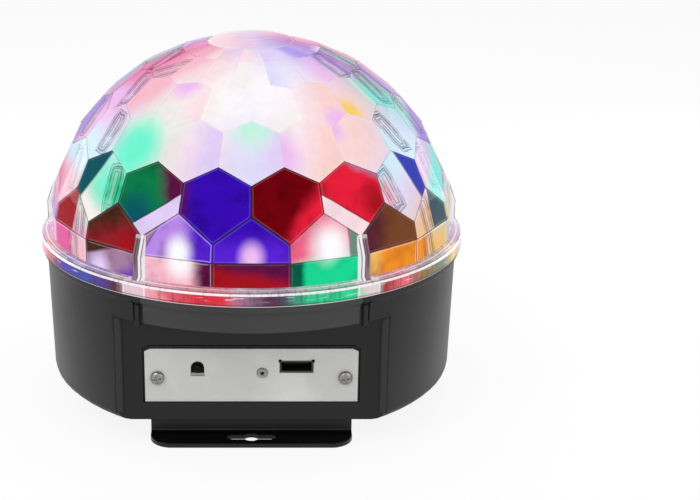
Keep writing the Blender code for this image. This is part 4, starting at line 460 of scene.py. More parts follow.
class Graph:
    """Builds the nodes of one material or world."""

    def __init__(self, owner: bpy.types.Material | bpy.types.World) -> None:
        """Starts with only the output node.

        Args:
            owner: The material or world that the nodes belong to.
        """
        self.owner = owner
        owner.use_nodes = True
        self.tree = owner.node_tree
        self.tree.nodes.clear()
        kind = "World" if isinstance(owner, bpy.types.World) else "Material"
        self.output = self.tree.nodes.new("ShaderNodeOutput" + kind)

    def node(
        self,
        kind: str,
        settings: Mapping[str, object] | None = None,
        inputs: Mapping[str | int, Feed] | None = None,
    ) -> bpy.types.Node:
        """Adds a node.

        Args:
            kind: The node's type.
            settings: Properties that are set first. "stops" gives a colour ramp's stops.
            inputs: Numbers, colours or links for its sockets, by name or index.

        Returns:
            The node.
        """
        made = self.tree.nodes.new(kind)
        for key, setting in (settings or {}).items():
            if key == "stops":
                self._set_stops(made.color_ramp, setting)
            else:
                setattr(made, key, setting)
        for key, given in (inputs or {}).items():
            socket = made.inputs[key]
            if isinstance(given, Value):
                self.tree.links.new(given.socket, socket)
            elif isinstance(given, bpy.types.NodeSocket):
                self.tree.links.new(given, socket)
            else:
                socket.default_value = given
        return made

    @staticmethod
    def _set_stops(ramp: bpy.types.ColorRamp, stops: Sequence[tuple[float, Colour]]) -> None:
        """Gives a ramp its stops.

        Args:
            ramp: The ramp, as it comes.
            stops: Its stops in order, as (position, colour).
        """
        while len(ramp.elements) > 1:
            ramp.elements.remove(ramp.elements[-1])
        ramp.elements[0].position, ramp.elements[0].color = stops[0]
        for position, colour in stops[1:]:
            ramp.elements.new(position).color = colour

    def attribute(self, name: str) -> bpy.types.Node:
        """Reads a mesh attribute."""
        return self.node("ShaderNodeAttribute", {"attribute_name": name})

    def vector(self, name: str) -> tuple[Value, Value, Value]:
        """The three numbers of a mesh attribute."""
        return self.parts(self.attribute(name).outputs["Vector"])

    def hue(self, name: str) -> bpy.types.NodeSocket:
        """The colour of a mesh attribute."""
        return self.attribute(name).outputs["Color"]

    def parts(self, vector: bpy.types.NodeSocket) -> tuple[Value, Value, Value]:
        """Splits a vector into its three numbers."""
        made = self.node("ShaderNodeSeparateXYZ", inputs={0: vector})
        return Value(self, made.outputs[0]), Value(self, made.outputs[1]), Value(self, made.outputs[2])

    def mix(self, first: Feed, second: Feed, factor: Feed, blend: str = "MIX") -> bpy.types.NodeSocket:
        """Mixes two colours.

        Args:
            first: The colour where the factor is 0.
            second: The colour where the factor is 1.
            factor: How much of the second.
            blend: The node's blend type.

        Returns:
            The mixed colour.
        """
        settings = {"data_type": "RGBA", "blend_type": blend}
        return self.node("ShaderNodeMix", settings, {0: factor, 6: first, 7: second}).outputs[2]

    def ramp(self, factor: Value, stops: Sequence[tuple[float, Colour]]) -> bpy.types.NodeSocket:
        """A colour from a ramp."""
        return self.node("ShaderNodeValToRGB", {"stops": stops}, {0: factor}).outputs[0]

    def place(self) -> bpy.types.NodeSocket:
        """The point on the surface, in metres, in the piece's own space."""
        return self.node("ShaderNodeTexCoord").outputs["Object"]

    def noise(self, scale: float, detail: float = 2.0, stretch: Point = (1.0, 1.0, 1.0)) -> Value:
        """Smooth noise from 0 to 1.

        Args:
            scale: Waves per metre.
            detail: How many finer layers it has.
            stretch: Factors along X, Y and Z.

        Returns:
            The noise.
        """
        spot = self.node("ShaderNodeVectorMath", {"operation": "MULTIPLY"}, {0: self.place(), 1: stretch})
        inputs = {"Vector": spot.outputs[0], "Scale": scale, "Detail": detail}
        return Value(self, self.node("ShaderNodeTexNoise", inputs=inputs).outputs[0])

    def rounded(self, radius: float) -> bpy.types.NodeSocket:
        """A normal that rounds sharp edges."""
        return self.node("ShaderNodeBevel", {"samples": 6}, {"Radius": radius}).outputs[0]

    def bump(
        self, height: Value, strength: float, depth: float, normal: Feed | None = None
    ) -> bpy.types.NodeSocket:
        """A normal from heights.

        Args:
            height: Heights from 0 to 1.
            strength: How much of it shows.
            depth: Metres between 0 and 1.
            normal: The normal that it starts from.

        Returns:
            The normal.
        """
        inputs: dict[str | int, Feed] = {"Strength": strength, "Distance": depth, "Height": height}
        if normal is not None:
            inputs["Normal"] = normal
        return self.node("ShaderNodeBump", inputs=inputs).outputs[0]

    def end(self, shader: bpy.types.Node) -> None:
        """Joins the last shader to the output."""
        self.tree.links.new(shader.outputs[0], self.output.inputs["Surface"])

    def surface(self, inputs: Mapping[str | int, Feed]) -> None:
        """Ends the material with a Principled shader."""
        self.end(self.node("ShaderNodeBsdfPrincipled", inputs=inputs))


@dataclass(frozen=True)
class Finish(ABC):
    """A finish that is made once and shared by the pieces that have it."""

    name: str

    def material(self) -> bpy.types.Material:
        """Looks the material up, and builds it on first use.

        Returns:
            The material.
        """
        name = "finish_" + self.name
        made = bpy.data.materials.get(name)
        if made is None:
            made = bpy.data.materials.new(name)
            self.build(Graph(made))
        return made

    @abstractmethod
    def build(self, graph: Graph) -> None:
        """Builds the nodes."""


@dataclass(frozen=True)
class MouldedPlastic(Finish):
    """Moulded plastic with a fine grain, a soft mottle and rounded edges.

    The painted sheen is a painted highlight on the rim over the collar, above the flat front.
    """

    colour: str
    roughness: float = 0.45
    grain: float = 1400.0
    grain_depth: float = 0.00004
    mottle: float = 0.12
    edge: float = 0.0005
    specular: float = 0.3
    painted_sheen: float = 0.0
    painted_sheen_half: float = 0.048
    painted_sheen_reach: float = 0.082
    painted_sheen_fade: float = 0.0005
    painted_sheen_lip: float = 0.0004

    def build(self, graph: Graph) -> None:
        """Builds the nodes.

        Args:
            graph: The material's nodes.
        """
        paint = linear(self.colour)
        cloud = graph.noise(26.0, detail=3.0)
        grain = graph.noise(self.grain, detail=1.0)
        colour = graph.mix(paint, toned(paint, 1.6, lift=0.004), (cloud * self.mottle * 2.0).clamped())
        # Painted highlight: the rim over the collar is painted paler.
        if self.painted_sheen:
            colour = graph.mix(colour, grey(self.painted_sheen), self._over_collar(graph) * (cloud * 0.6 + 0.4))
        graph.surface(
            {
                "Base Color": colour,
                "Roughness": self.roughness + (cloud - 0.5) * 0.16,
                "Specular IOR Level": self.specular,
                "Normal": graph.bump(grain, 0.5, self.grain_depth, graph.rounded(self.edge)),
            }
        )

    def _over_collar(self, graph: Graph) -> Value:
        """1 on the rim over the collar, above the flat front, and 0 elsewhere.

        Args:
            graph: The material's nodes.

        Returns:
            The mask.
        """
        x, y, z = graph.parts(graph.place())
        half, reach, fade, lip = self.painted_sheen_half, self.painted_sheen_reach, self.painted_sheen_fade, self.painted_sheen_lip
        face = z.rise(COLLAR_Z - lip, COLLAR_Z + lip) * (y * -1.0).rise(reach - fade, reach + fade)
        return face * (1.0 - x.size().rise(half - fade, half + fade))


@dataclass(frozen=True)
class PaintedSteel(Finish):
    """Folded steel under satin paint, a little uneven, with worn lighter edges."""

    colour: str
    roughness: float = 0.34
    metallic: float = 0.0
    edge: float = 0.0004
    specular: float = 0.5

    def build(self, graph: Graph) -> None:
        """Builds the nodes.

        Args:
            graph: The material's nodes.
        """
        paint = linear(self.colour)
        peel = graph.noise(520.0, detail=2.0)
        cloud = graph.noise(34.0, detail=4.0)
        wear_and_shade = toned(paint, 1.5, lift=0.006)
        graph.surface(
            {
                "Base Color": graph.mix(paint, wear_and_shade, cloud.rise(0.45, 0.8) * 0.5),
                "Roughness": self.roughness + (cloud - 0.5) * 0.2,
                "Metallic": self.metallic,
                "Specular IOR Level": self.specular,
                "Normal": graph.bump(peel, 0.35, 0.00005, graph.rounded(self.edge)),
            }
        )


@dataclass(frozen=True)
class BareMetal(Finish):
    """Plated or plain metal with fine drawn marks."""

    colour: str
    roughness: float = 0.28
    marks: Point = (60.0, 900.0, 900.0)
    edge: float = 0.0002

    def build(self, graph: Graph) -> None:
        """Builds the nodes.

        Args:
            graph: The material's nodes.
        """
        paint = linear(self.colour)
        drawn = graph.noise(1.0, detail=3.0, stretch=self.marks)
        cloud = graph.noise(90.0, detail=2.0)
        graph.surface(
            {
                "Base Color": graph.mix(paint, toned(paint, 0.72), drawn * 0.5 + cloud * 0.3),
                "Metallic": 1.0,
                "Roughness": self.roughness + (drawn - 0.5) * 0.2,
                "Normal": graph.bump(drawn, 0.15, 0.00003, graph.rounded(self.edge)),
            }
        )


@dataclass(frozen=True)
class GlossPlastic(Finish):
    """Smooth plastic, sleeve or tape with a faint ripple. A lamp glows by itself."""

    colour: str
    roughness: float = 0.2
    glow: float = 0.0
    specular: float = 0.5

    def build(self, graph: Graph) -> None:
        """Builds the nodes.

        Args:
            graph: The material's nodes.
        """
        paint = linear(self.colour)
        cloud = graph.noise(120.0, detail=2.0)
        colour = graph.mix(paint, toned(paint, 0.8), cloud)
        graph.surface(
            {
                "Base Color": colour,
                "Roughness": self.roughness + (cloud - 0.5) * 0.1,
                "Specular IOR Level": self.specular,
                "Emission Color": colour,
                "Emission Strength": self.glow,
                "Normal": graph.bump(cloud, 0.1, 0.00005),
            }
        )


@dataclass(frozen=True)
class BoardMask(Finish):
    """A circuit board's solder mask with its tracks showing faintly."""

    colour: str = "0c4a26"
    track: str = "1f6d3c"
    tracks_per_metre: float = 420.0

    def build(self, graph: Graph) -> None:
        """Builds the nodes.

        Args:
            graph: The material's nodes.
        """
        settings = {"feature": "F1", "distance": "CHEBYCHEV"}
        inputs: dict[str | int, Feed] = {"Vector": graph.place(), "Scale": self.tracks_per_metre}
        cells = graph.node("ShaderNodeTexVoronoi", settings, inputs)
        tracks = Value(graph, cells.outputs["Distance"]).rise(0.3, 0.36)
        graph.surface(
            {
                "Base Color": graph.mix(linear(self.colour), linear(self.track), tracks),
                "Roughness": tracks * 0.15 + 0.3,
                "Normal": graph.bump(tracks, 0.3, 0.00004),
            }
        )


@dataclass(frozen=True)
class ClearAcrylic(Finish):
    """Clear moulded acrylic with a faint swell in its surface."""

    tint: str = "fbf9fd"
    roughness: float = 0.02
    swell: float = 0.00006
    ior: float = 1.46
    mirror: float = 1.0

    def build(self, graph: Graph) -> None:
        """Builds the nodes.

        Args:
            graph: The material's nodes.
        """
        swell = graph.noise(95.0, detail=1.0)
        graph.surface(
            {
                "Base Color": linear(self.tint),
                "Roughness": self.roughness,
                "IOR": self.ior,
                "Specular Tint": grey(self.mirror),
                "Transmission Weight": 1.0,
                "Normal": graph.bump(swell, 0.6, self.swell),
            }
        )


@dataclass(frozen=True)
class CellLight(Finish):
    """The light that each facet of the dome passes, painted from the facets' own attributes.

    A gap is a distance in millimetres from the facet's edge. A nest is half as long as nest_half and
    reaches nest_reach out from its middle line, in facet units.
    """

    shine: Colour = WHITE
    dark: Colour = (0.02, 0.015, 0.025, 1.0)
    dusk: Colour = (0.25, 0.22, 0.3, 1.0)
    pale: Colour = (0.72, 0.72, 0.78, 1.0)
    brightness: float = 1.03
    streaks: float = 0.14
    nest_half: float = 0.42
    nest_reach: float = 0.42

    def build(self, graph: Graph) -> None:
        """Builds the nodes.

        Args:
            graph: The material's nodes.
        """
        right, up, gap = graph.vector("cell_place")
        soft, line, fold = graph.vector("cell_style")
        glint, deep, _ = graph.vector("cell_depth")
        cloud = graph.noise(70.0, detail=3.0)
        wobble = (cloud - 0.5) * 0.5
        streak = graph.noise(1.0, detail=3.0, stretch=(260.0, 260.0, 60.0)) - 0.5
        colour = self._lit(graph, right, up, wobble, soft, deep)
        colour = self._cornered(graph, colour, right, up, cloud)
        colour = self._folded(graph, colour, right, up, wobble, fold)
        gap = gap + streak * 0.3
        # A painted highlight just inside each facet's edge, then a painted dark line along the edge
        # itself: painted shade.
        colour = graph.mix(colour, self.shine, gap.band(0.3, 0.6, 0.6, 1.1) * glint)
        colour = graph.mix(colour, self.dark, (1.0 - gap.rise(0.05, 0.42)) * line)
        inputs: dict[str | int, Feed] = {0: colour, "Scale": streak * self.streaks + self.brightness}
        scaled = graph.node("ShaderNodeVectorMath", {"operation": "SCALE"}, inputs)
        graph.surface(
            {
                "Base Color": BLACK,
                "Roughness": 0.8,
                "Specular IOR Level": 0.0,
                "Emission Color": scaled.outputs[0],
                "Emission Strength": 1.0,
            }
        )

    @staticmethod
    def _lit(
        graph: Graph, right: Value, up: Value, wobble: Value, soft: Value, deep: Value
    ) -> bpy.types.NodeSocket:
        """The fill, the colour that comes in from one side and the spot.

        Args:
            graph: The material's nodes.
            right: The place across the facet.
            up: The place up the facet.
            wobble: Unevenness of the edges between colours.
            soft: How softly the side's colour fades.
            deep: How strong the dark patches are.

        Returns:
            The colour.
        """
        side_x, side_y, side_split = graph.vector("side_axis")
        along = right * side_x + up * side_y + wobble - side_split
        mask = (along / soft + 0.5).clamped().rise(0.0, 1.0)
        spot_x, spot_y, spot_size = graph.vector("spot_place")
        across, above = right - spot_x, (up - spot_y) * 0.8
        far = (across * across + above * above).root() / spot_size + wobble * 0.3
        patches = graph.noise(110.0, detail=3.0).rise(0.42, 0.78) * deep * 0.35
        base = graph.mix(graph.mix(graph.hue("fill"), graph.hue("side"), mask), BLACK, patches)
        return graph.mix(base, graph.hue("spot"), 1.0 - far.rise(0.15, 1.0))

    def _cornered(
        self, graph: Graph, colour: bpy.types.NodeSocket, right: Value, up: Value, cloud: Value
    ) -> bpy.types.NodeSocket:
        """A neighbouring facet's colour that shows in one corner, with a crisp edge and painted shade
        along it.

        Args:
            graph: The material's nodes.
            colour: The colour so far.
            right: The place across the facet.
            up: The place up the facet.
            cloud: Soft noise.

        Returns:
            The colour.
        """
        corner_x, corner_y, corner_split = graph.vector("corner_axis")
        inside = right * corner_x + up * corner_y + (cloud - 0.5) * 0.08 - corner_split
        shaded = graph.mix(graph.hue("corner"), self.dark, (cloud - 0.4).clamped() * 0.5)
        # Painted shade: a dark line along the corner's edge.
        colour = graph.mix(colour, self.dark, inside.rise(-0.07, -0.02) * 0.6)
        return graph.mix(colour, shaded, inside.rise(-0.02, 0.02))

    def _folded(
        self, graph: Graph, colour: bpy.types.NodeSocket, right: Value, up: Value, wobble: Value,
        fold: Value,
    ) -> bpy.types.NodeSocket:
        """A small nest of painted dark and bright lines that stand for the folded wall, where a facet is
        seen edge on: painted shade and highlights.

        Args:
            graph: The material's nodes.
            colour: The colour so far.
            right: The place across the facet.
            up: The place up the facet.
            wobble: Unevenness of the lines.
            fold: How much of them shows.

        Returns:
            The colour.
        """
        dark, dusk, pale, shine = self.dark, self.dusk, self.pale, self.shine
        fold_x, fold_y, fold_split = graph.vector("fold_axis")
        along = up * fold_x - right * fold_y
        off = right * fold_x + up * fold_y - fold_split + along * 0.2 + wobble * 0.4
        beyond = (along.size() - self.nest_half + wobble).or_more(0.0)
        far = off.size().or_more(beyond * 0.9) + beyond * 0.25
        bands = graph.ramp(
            far / self.nest_reach,
            [
                (0.0, pale), (0.1, shine), (0.2, dark), (0.28, pale), (0.36, shine), (0.44, dusk),
                (0.5, pale), (0.58, dark), (0.64, shine), (0.74, pale), (0.8, dusk), (0.86, shine),
            ],
        )
        patches = graph.noise(210.0, detail=2.0).rise(0.3, 0.5) * 0.6 + 0.4
        dimmed = graph.mix(colour, bands, fold * patches, "MULTIPLY")
        # A painted highlight along the nest's middle line.
        return graph.mix(dimmed, shine, (1.0 - far.rise(0.02, 0.2)) * fold * 0.2)


@dataclass(frozen=True)
class LitAcrylic(Finish):
    """Clear acrylic that the lamps light from inside."""

    glow: float = 0.85
    tinge: float = 0.15
    roughness: float = 0.1
    specular: float = 0.25

    def _end(
        self, graph: Graph, colour: bpy.types.NodeSocket, more: Mapping[str | int, Feed] | None = None
    ) -> None:
        """Ends the material.

        Args:
            graph: The material's nodes.
            colour: The colour of the light.
            more: Further inputs of the shader.
        """
        graph.surface(
            {
                "Base Color": graph.mix(BLACK, colour, self.tinge),
                "Roughness": self.roughness,
                "Specular IOR Level": self.specular,
                "Emission Color": colour,
                "Emission Strength": self.glow,
                **(more or {}),
            }
        )


@dataclass(frozen=True)
class FlangeLight(LitAcrylic):
    """The clear flange: coloured by the lamps round its edge, with painted highlights on its moulded
    rims.

    Heights are shares of the flange's height.
    """

    beams: tuple[tuple[int, Gel], ...] = ()
    low: float = DOME_Z
    high: float = DOME_Z + 0.0068
    shelf: float = 0.0999
    posts: int = 6
    white: Colour = (0.9, 0.87, 0.9, 1.0)
    flesh: Colour = (0.8, 0.62, 0.66, 1.0)
    pale: Colour = (0.55, 0.4, 0.5, 1.0)
    dark: Colour = (0.03, 0.02, 0.035, 1.0)

    def build(self, graph: Graph) -> None:
        """Builds the nodes.

        Args:
            graph: The material's nodes.
        """
        x, y, z = graph.parts(graph.place())
        turn = x.math("ARCTAN2", y * -1.0) / (2 * math.pi) + 0.5
        height = (z - self.low) / (self.high - self.low)
        streak = graph.noise(1.0, detail=3.0, stretch=(700.0, 700.0, 160.0))
        cloud = graph.noise(160.0, detail=2.0)
        colour = self._round(graph, turn, streak, cloud)
        colour = self._upright(graph, colour, height, streak, cloud)
        # A painted highlight along the top, just inside the shelf's edge.
        line = ((x * x + y * y).root() - self.shelf).band(-0.0014, -0.0011, -0.0008, -0.0005)
        colour = graph.mix(colour, self.white, line * height.rise(0.93, 0.96) * 0.7)
        self._end(graph, colour, {"Normal": graph.bump(streak, 0.25, 0.0002)})

    def _round(self, graph: Graph, turn: Value, streak: Value, cloud: Value) -> bpy.types.NodeSocket:
        """The lamps' colours round the edge, streaked with painted shade, and the pale stretch under each
        post, painted light with a painted highlight beside it.

        Args:
            graph: The material's nodes.
            turn: The share of the way round, from the back.
            streak: Fine noise.
            cloud: Soft noise.

        Returns:
            The colour.
        """
        wobble = (graph.noise(1.0, detail=2.0, stretch=(120.0, 120.0, 20.0)) - 0.5) * 0.012
        stops = sorted(((bearing + 180) / 360, gel.paint) for bearing, gel in self.beams)
        colour = graph.ramp(turn + wobble, stops)
        shade = (streak.rise(0.5, 0.75) * 0.45 + cloud.rise(0.3, 0.7) * 0.3).clamped()
        colour = graph.mix(colour, self.dark, shade)
        # Under each post the edge is painted paler, as painted light, with a painted highlight on each
        # side.
        around = ((turn * self.posts).math("FRACT") - 0.5).size()
        post = (1.0 - around.rise(0.042, 0.05)) * (cloud.rise(0.3, 0.7) * 0.5 + 0.4)
        colour = graph.mix(colour, self.flesh, post)
        return graph.mix(colour, self.white, around.band(0.042, 0.05, 0.05, 0.06) * 0.8)

    def _upright(
        self, graph: Graph, colour: bpy.types.NodeSocket, height: Value, streak: Value, cloud: Value
    ) -> bpy.types.NodeSocket:
        """Painted glints, a painted dark line at the foot, painted highlights on the rims and a paler
        painted top with streaks of painted shade, from below up.

        Args:
            graph: The material's nodes.
            colour: The colour so far.
            height: The share of the way up.
            streak: Fine noise.
            cloud: Soft noise.

        Returns:
            The colour.
        """
        white, dark = self.white, self.dark
        # Pale streaks in the middle band of the flange: painted glints.
        painted_glints = graph.noise(1.0, detail=2.0, stretch=(90.0, 90.0, 900.0)).rise(0.58, 0.66)
        colour = graph.mix(colour, white, painted_glints * height.band(0.25, 0.45, 0.6, 0.68) * 0.5)
        # A painted dark line near the foot, then a painted highlight along the bottom rim.
        colour = graph.mix(colour, dark, height.band(0.05, 0.1, 0.12, 0.2) * 0.6)
        colour = graph.mix(colour, white, (1.0 - height.rise(0.03, 0.07)) * 0.8)
        # The top is painted paler, as painted light, and crossed by dark streaks of painted shade.
        wear_and_shade = streak.rise(0.5, 0.7) * 0.35
        pale_top = graph.mix(graph.mix(colour, self.pale, 0.5), white, cloud.rise(0.4, 0.8) * 0.35)
        colour = graph.mix(colour, graph.mix(pale_top, dark, wear_and_shade), height.rise(0.8, 0.84))
        # A painted highlight along the upper rim, and a painted dark line just over it.
        colour = graph.mix(colour, white, height.band(0.71, 0.74, 0.83, 0.86) * (0.96 - wear_and_shade))
        return graph.mix(colour, dark, height.band(0.85, 0.87, 0.91, 0.93) * 0.5)


@dataclass(frozen=True)
class PostLight(LitAcrylic):
    """A clear post: painted bright and dark lines up it, paler low on one side, a painted highlight at
    the top.
    """

    white: Colour = (0.86, 0.82, 0.86, 1.0)
    pale: Colour = (0.33, 0.21, 0.27, 1.0)
    mid: Colour = (0.12, 0.075, 0.1, 1.0)
    dark: Colour = (0.03, 0.02, 0.03, 1.0)

    def build(self, graph: Graph) -> None:
        """Builds the nodes.

        Args:
            graph: The material's nodes.
        """
        white, pale, mid, dark = self.white, self.pale, self.mid, self.dark
        across, height, _ = graph.vector("post_place")
        wobble = (graph.noise(150.0, detail=2.0) - 0.5) * 0.08
        colour = graph.ramp(
            across * 0.5 + 0.5 + wobble,
            [
                (0.0, mid), (0.06, dark), (0.12, pale), (0.2, mid), (0.3, mid), (0.36, dark),
                (0.42, pale), (0.5, mid), (0.55, dark), (0.61, pale), (0.67, white), (0.88, white),
                (0.94, dark), (1.0, white),
            ],
        )
        # Painted light: paler low down on one side, and a painted highlight at the top.
        lower = (1.0 - height.rise(0.35, 0.6)) * (1.0 - across.rise(-0.1, 0.1))
        colour = graph.mix(colour, pale, lower * 0.5)
        self._end(graph, graph.mix(colour, white, height.rise(0.92, 0.97) * 0.5))


HOUSING_BLACK = MouldedPlastic("housing_black", "0c0c0d", 0.42, painted_sheen=0.05)
# A paler copy of the housing's black for the beads and the pocket rib: the paleness is a painted
# highlight, on top of the real one from their rounding.
SHEEN_BLACK = MouldedPlastic("sheen_black", "242425", 0.4)
SCREW_STEEL = BareMetal("screw_steel", "989793", 0.3)
LIP_GREY = GlossPlastic("lip_grey", "a2a29f", 0.35, specular=0.3)
DOME_CLEAR = ClearAcrylic("dome_clear", ior=1.1, mirror=0.0)
LAMP_CODES = {
    "red": "f02b2b",
    "green": "2be05c",
    "blue": "2b40f0",
    "white": "f4f4f4",
    "violet": "9a3cf0",
    "amber": "f5a020",
}

SLOT_FINISHES: dict[str, Finish] = {
    "housing_black": HOUSING_BLACK,
    "bracket_black": PaintedSteel("bracket_black", "0a0a0b", 0.32, specular=0.3),
    "dome_clear": DOME_CLEAR,
    "lens_clear": ClearAcrylic("lens_clear", "ece4fa", 0.05),
    "panel_silver": PaintedSteel("panel_silver", "c6c6c4", 0.4, 0.1, 0.0002, 0.3),
    "screw_steel": SCREW_STEEL,
    "bright_steel": BareMetal("bright_steel", "d4d5d8", 0.22),
    "dark_plastic": GlossPlastic("dark_gloss", "060606", 0.35, specular=0.1),
    "white_plastic": GlossPlastic("lamp_cap", "3c3c3a", 0.25),
    "board_green": BoardMask("board_green"),
    "lamp_board_white": GlossPlastic("lamp_board_white", "e4e4e0", 0.3),
    "reflector": BareMetal("reflector", "e6e6ea", 0.12),
    "aluminium": BareMetal("aluminium", "c4c6c9", 0.38),
    "transformer_tape": GlossPlastic("transformer_tape", "d9b52c", 0.4),
    "capacitor_sleeve": GlossPlastic("capacitor_sleeve", "1b2238", 0.3),
    "pin_brass": BareMetal("pin_brass", "d8b46a", 0.25),
    "magnet_grey": BareMetal("magnet_grey", "5a5a5e", 0.5),
    "cone_paper": MouldedPlastic("cone_paper", "1b1b1b", 0.8, 900.0, 0.0001),
    **{"lamp_" + name: GlossPlastic("lamp_" + name, code, 0.2, 1.0) for name, code in LAMP_CODES.items()},
}
# The USB socket's shell takes a darker copy of the bright steel: painted shade.
NODE_FINISHES: dict[str, Finish] = {"usb_shell": BareMetal("shaded_steel", "5c5a55", 0.45)}


@dataclass
class Facet:
    """One flat facet of the dome."""

    row: Row
    bearing: float
    centre: Vector
    right: Vector
    up: Vector
    corners: list[Vector]

    @property
    def middle(self) -> Vector:
        """The mean of its corners."""
        return sum(self.corners, Vector()) / len(self.corners)

    def flat(self, spot: Vector) -> tuple[float, float]:
        """A point's place across and up the facet, from its centre."""
        away = spot - self.centre
        return away.dot(self.right), away.dot(self.up)

    def inradius(self) -> float:
        """The distance from the facet's middle to its nearest side.

        Returns:
            The distance.
        """
        middle = self.middle
        nearest = math.inf
        for index, here in enumerate(self.corners):
            along = (self.corners[(index + 1) % len(self.corners)] - here).normalized()
            nearest = min(nearest, ((middle - here) - along * (middle - here).dot(along)).length)
        return nearest

    def shrunk(self, border: float) -> list[Vector]:
        """The corners of the same polygon with every side moved in.

        Args:
            border: How far the sides move.

        Returns:
            The new corners.
        """
        flat = [Vector(self.flat(corner)) for corner in self.corners]
        inner = []
        for index, here in enumerate(flat):
            first = (here - flat[index - 1]).normalized()
            second = (flat[(index + 1) % len(flat)] - here).normalized()
            inward = Vector((-first.y - second.y, first.x + second.x))
            inward *= border / max(SHARPEST_CORNER, inward.dot(Vector((-first.y, first.x))))
            inner.append(self.centre + self.right * (here.x + inward.x) + self.up * (here.y + inward.y))
        return inner


@dataclass(frozen=True)
class Lattice:
    """The planes of the dome's facets, about the dome's centre.

    A row has its latitude in degrees and the half steps by which it is turned round.
    """

    face: float = 0.0973
    skirt: float = 0.0958
    top: float = 0.0952
    sheet: float = 0.3
    sectors: int = 18
    rows: tuple[tuple[Row, float, int], ...] = (
        (Row.FOOT, 12.4, 0),
        (Row.LOWER, 25.0, 1),
        (Row.MIDDLE, 40.0, 0),
        (Row.UPPER, 52.5, 1),
        (Row.CROWN, 66.0, 0),
        (Row.RING, 75.5, 0),
    )

    def planes(self, inset: float) -> list[tuple[Row, float, Vector, float]]:
        """The planes of all the facets.

        Args:
            inset: How far inside the dome's outer faces they lie.

        Returns:
            Each plane as (row, bearing, normal, distance).
        """
        step = 360 / self.sectors
        found = [(Row.TOP, 0.0, Vector((0, 0, 1)), self.top - inset)]
        for sector in range(self.sectors):
            turn = math.radians(sector * step)
            normal = Vector((math.sin(turn), -math.cos(turn), 0))
            found.append((Row.SKIRT, sector * step, normal, self.skirt - inset))
        for row, latitude, half_turns in self.rows:
            rise = math.radians(latitude)
            for sector in range(self.sectors):
                bearing = (sector + half_turns / 2) * step
                turn = math.radians(bearing)
                flat = math.cos(rise)
                normal = Vector((math.sin(turn) * flat, -math.cos(turn) * flat, math.sin(rise)))
                found.append((row, bearing, normal, self.face - inset))
        return found

    def facets(self, inset: float, base: float) -> list[Facet]:
        """Cuts each plane by all the others.

        Args:
            inset: How far inside the dome's outer faces the facets lie.
            base: Height of the lower edge above the dome's centre.

        Returns:
            The facets, in the part's own frame.
        """
        planes = self.planes(inset)
        floor = (Row.SKIRT, 0.0, Vector((0, 0, -1)), -base)
        lift = Vector((0, 0, DOME_Z))
        found = []
        for row, bearing, normal, distance in planes:
            right = Vector((0, 0, 1)).cross(normal)
            right = right.normalized() if right.length > LEVEL else Vector((1, 0, 0))
            up = normal.cross(right)
            centre = normal * distance
            corners = [centre + (right * x + up * y) * self.sheet for x, y in SQUARE]
            for other in (*planes, floor):
                if other[2] is not normal:
                    corners = self._cut(corners, other[2], other[3])
            if corners:
                lifted = [corner + lift for corner in corners]
                found.append(Facet(row, bearing, centre + lift, right, up, lifted))
        return found

    @staticmethod
    def _cut(corners: list[Vector], normal: Vector, distance: float) -> list[Vector]:
        """Keeps the part of a polygon that is behind a plane.

        Args:
            corners: The polygon.
            normal: The plane's normal.
            distance: The plane's distance from the centre.

        Returns:
            The corners of what is left.
        """
        kept = []
        for index, here in enumerate(corners):
            there = corners[(index + 1) % len(corners)]
            before, after = here.dot(normal) - distance, there.dot(normal) - distance
            if before <= 0:
                kept.append(here)
            if before * after < 0:
                kept.append(here.lerp(there, before / (before - after)))
        return kept


@dataclass
class Glow:
    """The light that runs smoothly from one clear facet to the next."""

    sources: list[tuple[Vector, Cell]]
    spread: float = 8.5

    def at(self, toward: Vector) -> Colour:
        """The light in a direction from the dome's centre.

        Args:
            toward: The direction.

        Returns:
            The colour, a mean of the clear facets near it.
        """
        total = Vector((0.0, 0.0, 0.0))
        weights = LEAST_WEIGHT
        for source, cell in self.sources:
            if cell.clear:
                turn = math.degrees(toward.angle(source)) / self.spread
                weight = math.exp(-turn * turn)
                total += Vector(cell.fill.paint[:3]) * weight
                weights += weight
        return (*(total / weights), 1.0)


def linked(name: str, data: bpy.types.ID) -> bpy.types.Object:
    """Puts a new object into the scene.

    Args:
        name: Its name.
        data: Its mesh, lamp or camera.

    Returns:
        The object.
    """
    made = bpy.data.objects.new(name, data)
    bpy.context.scene.collection.objects.link(made)
    return made


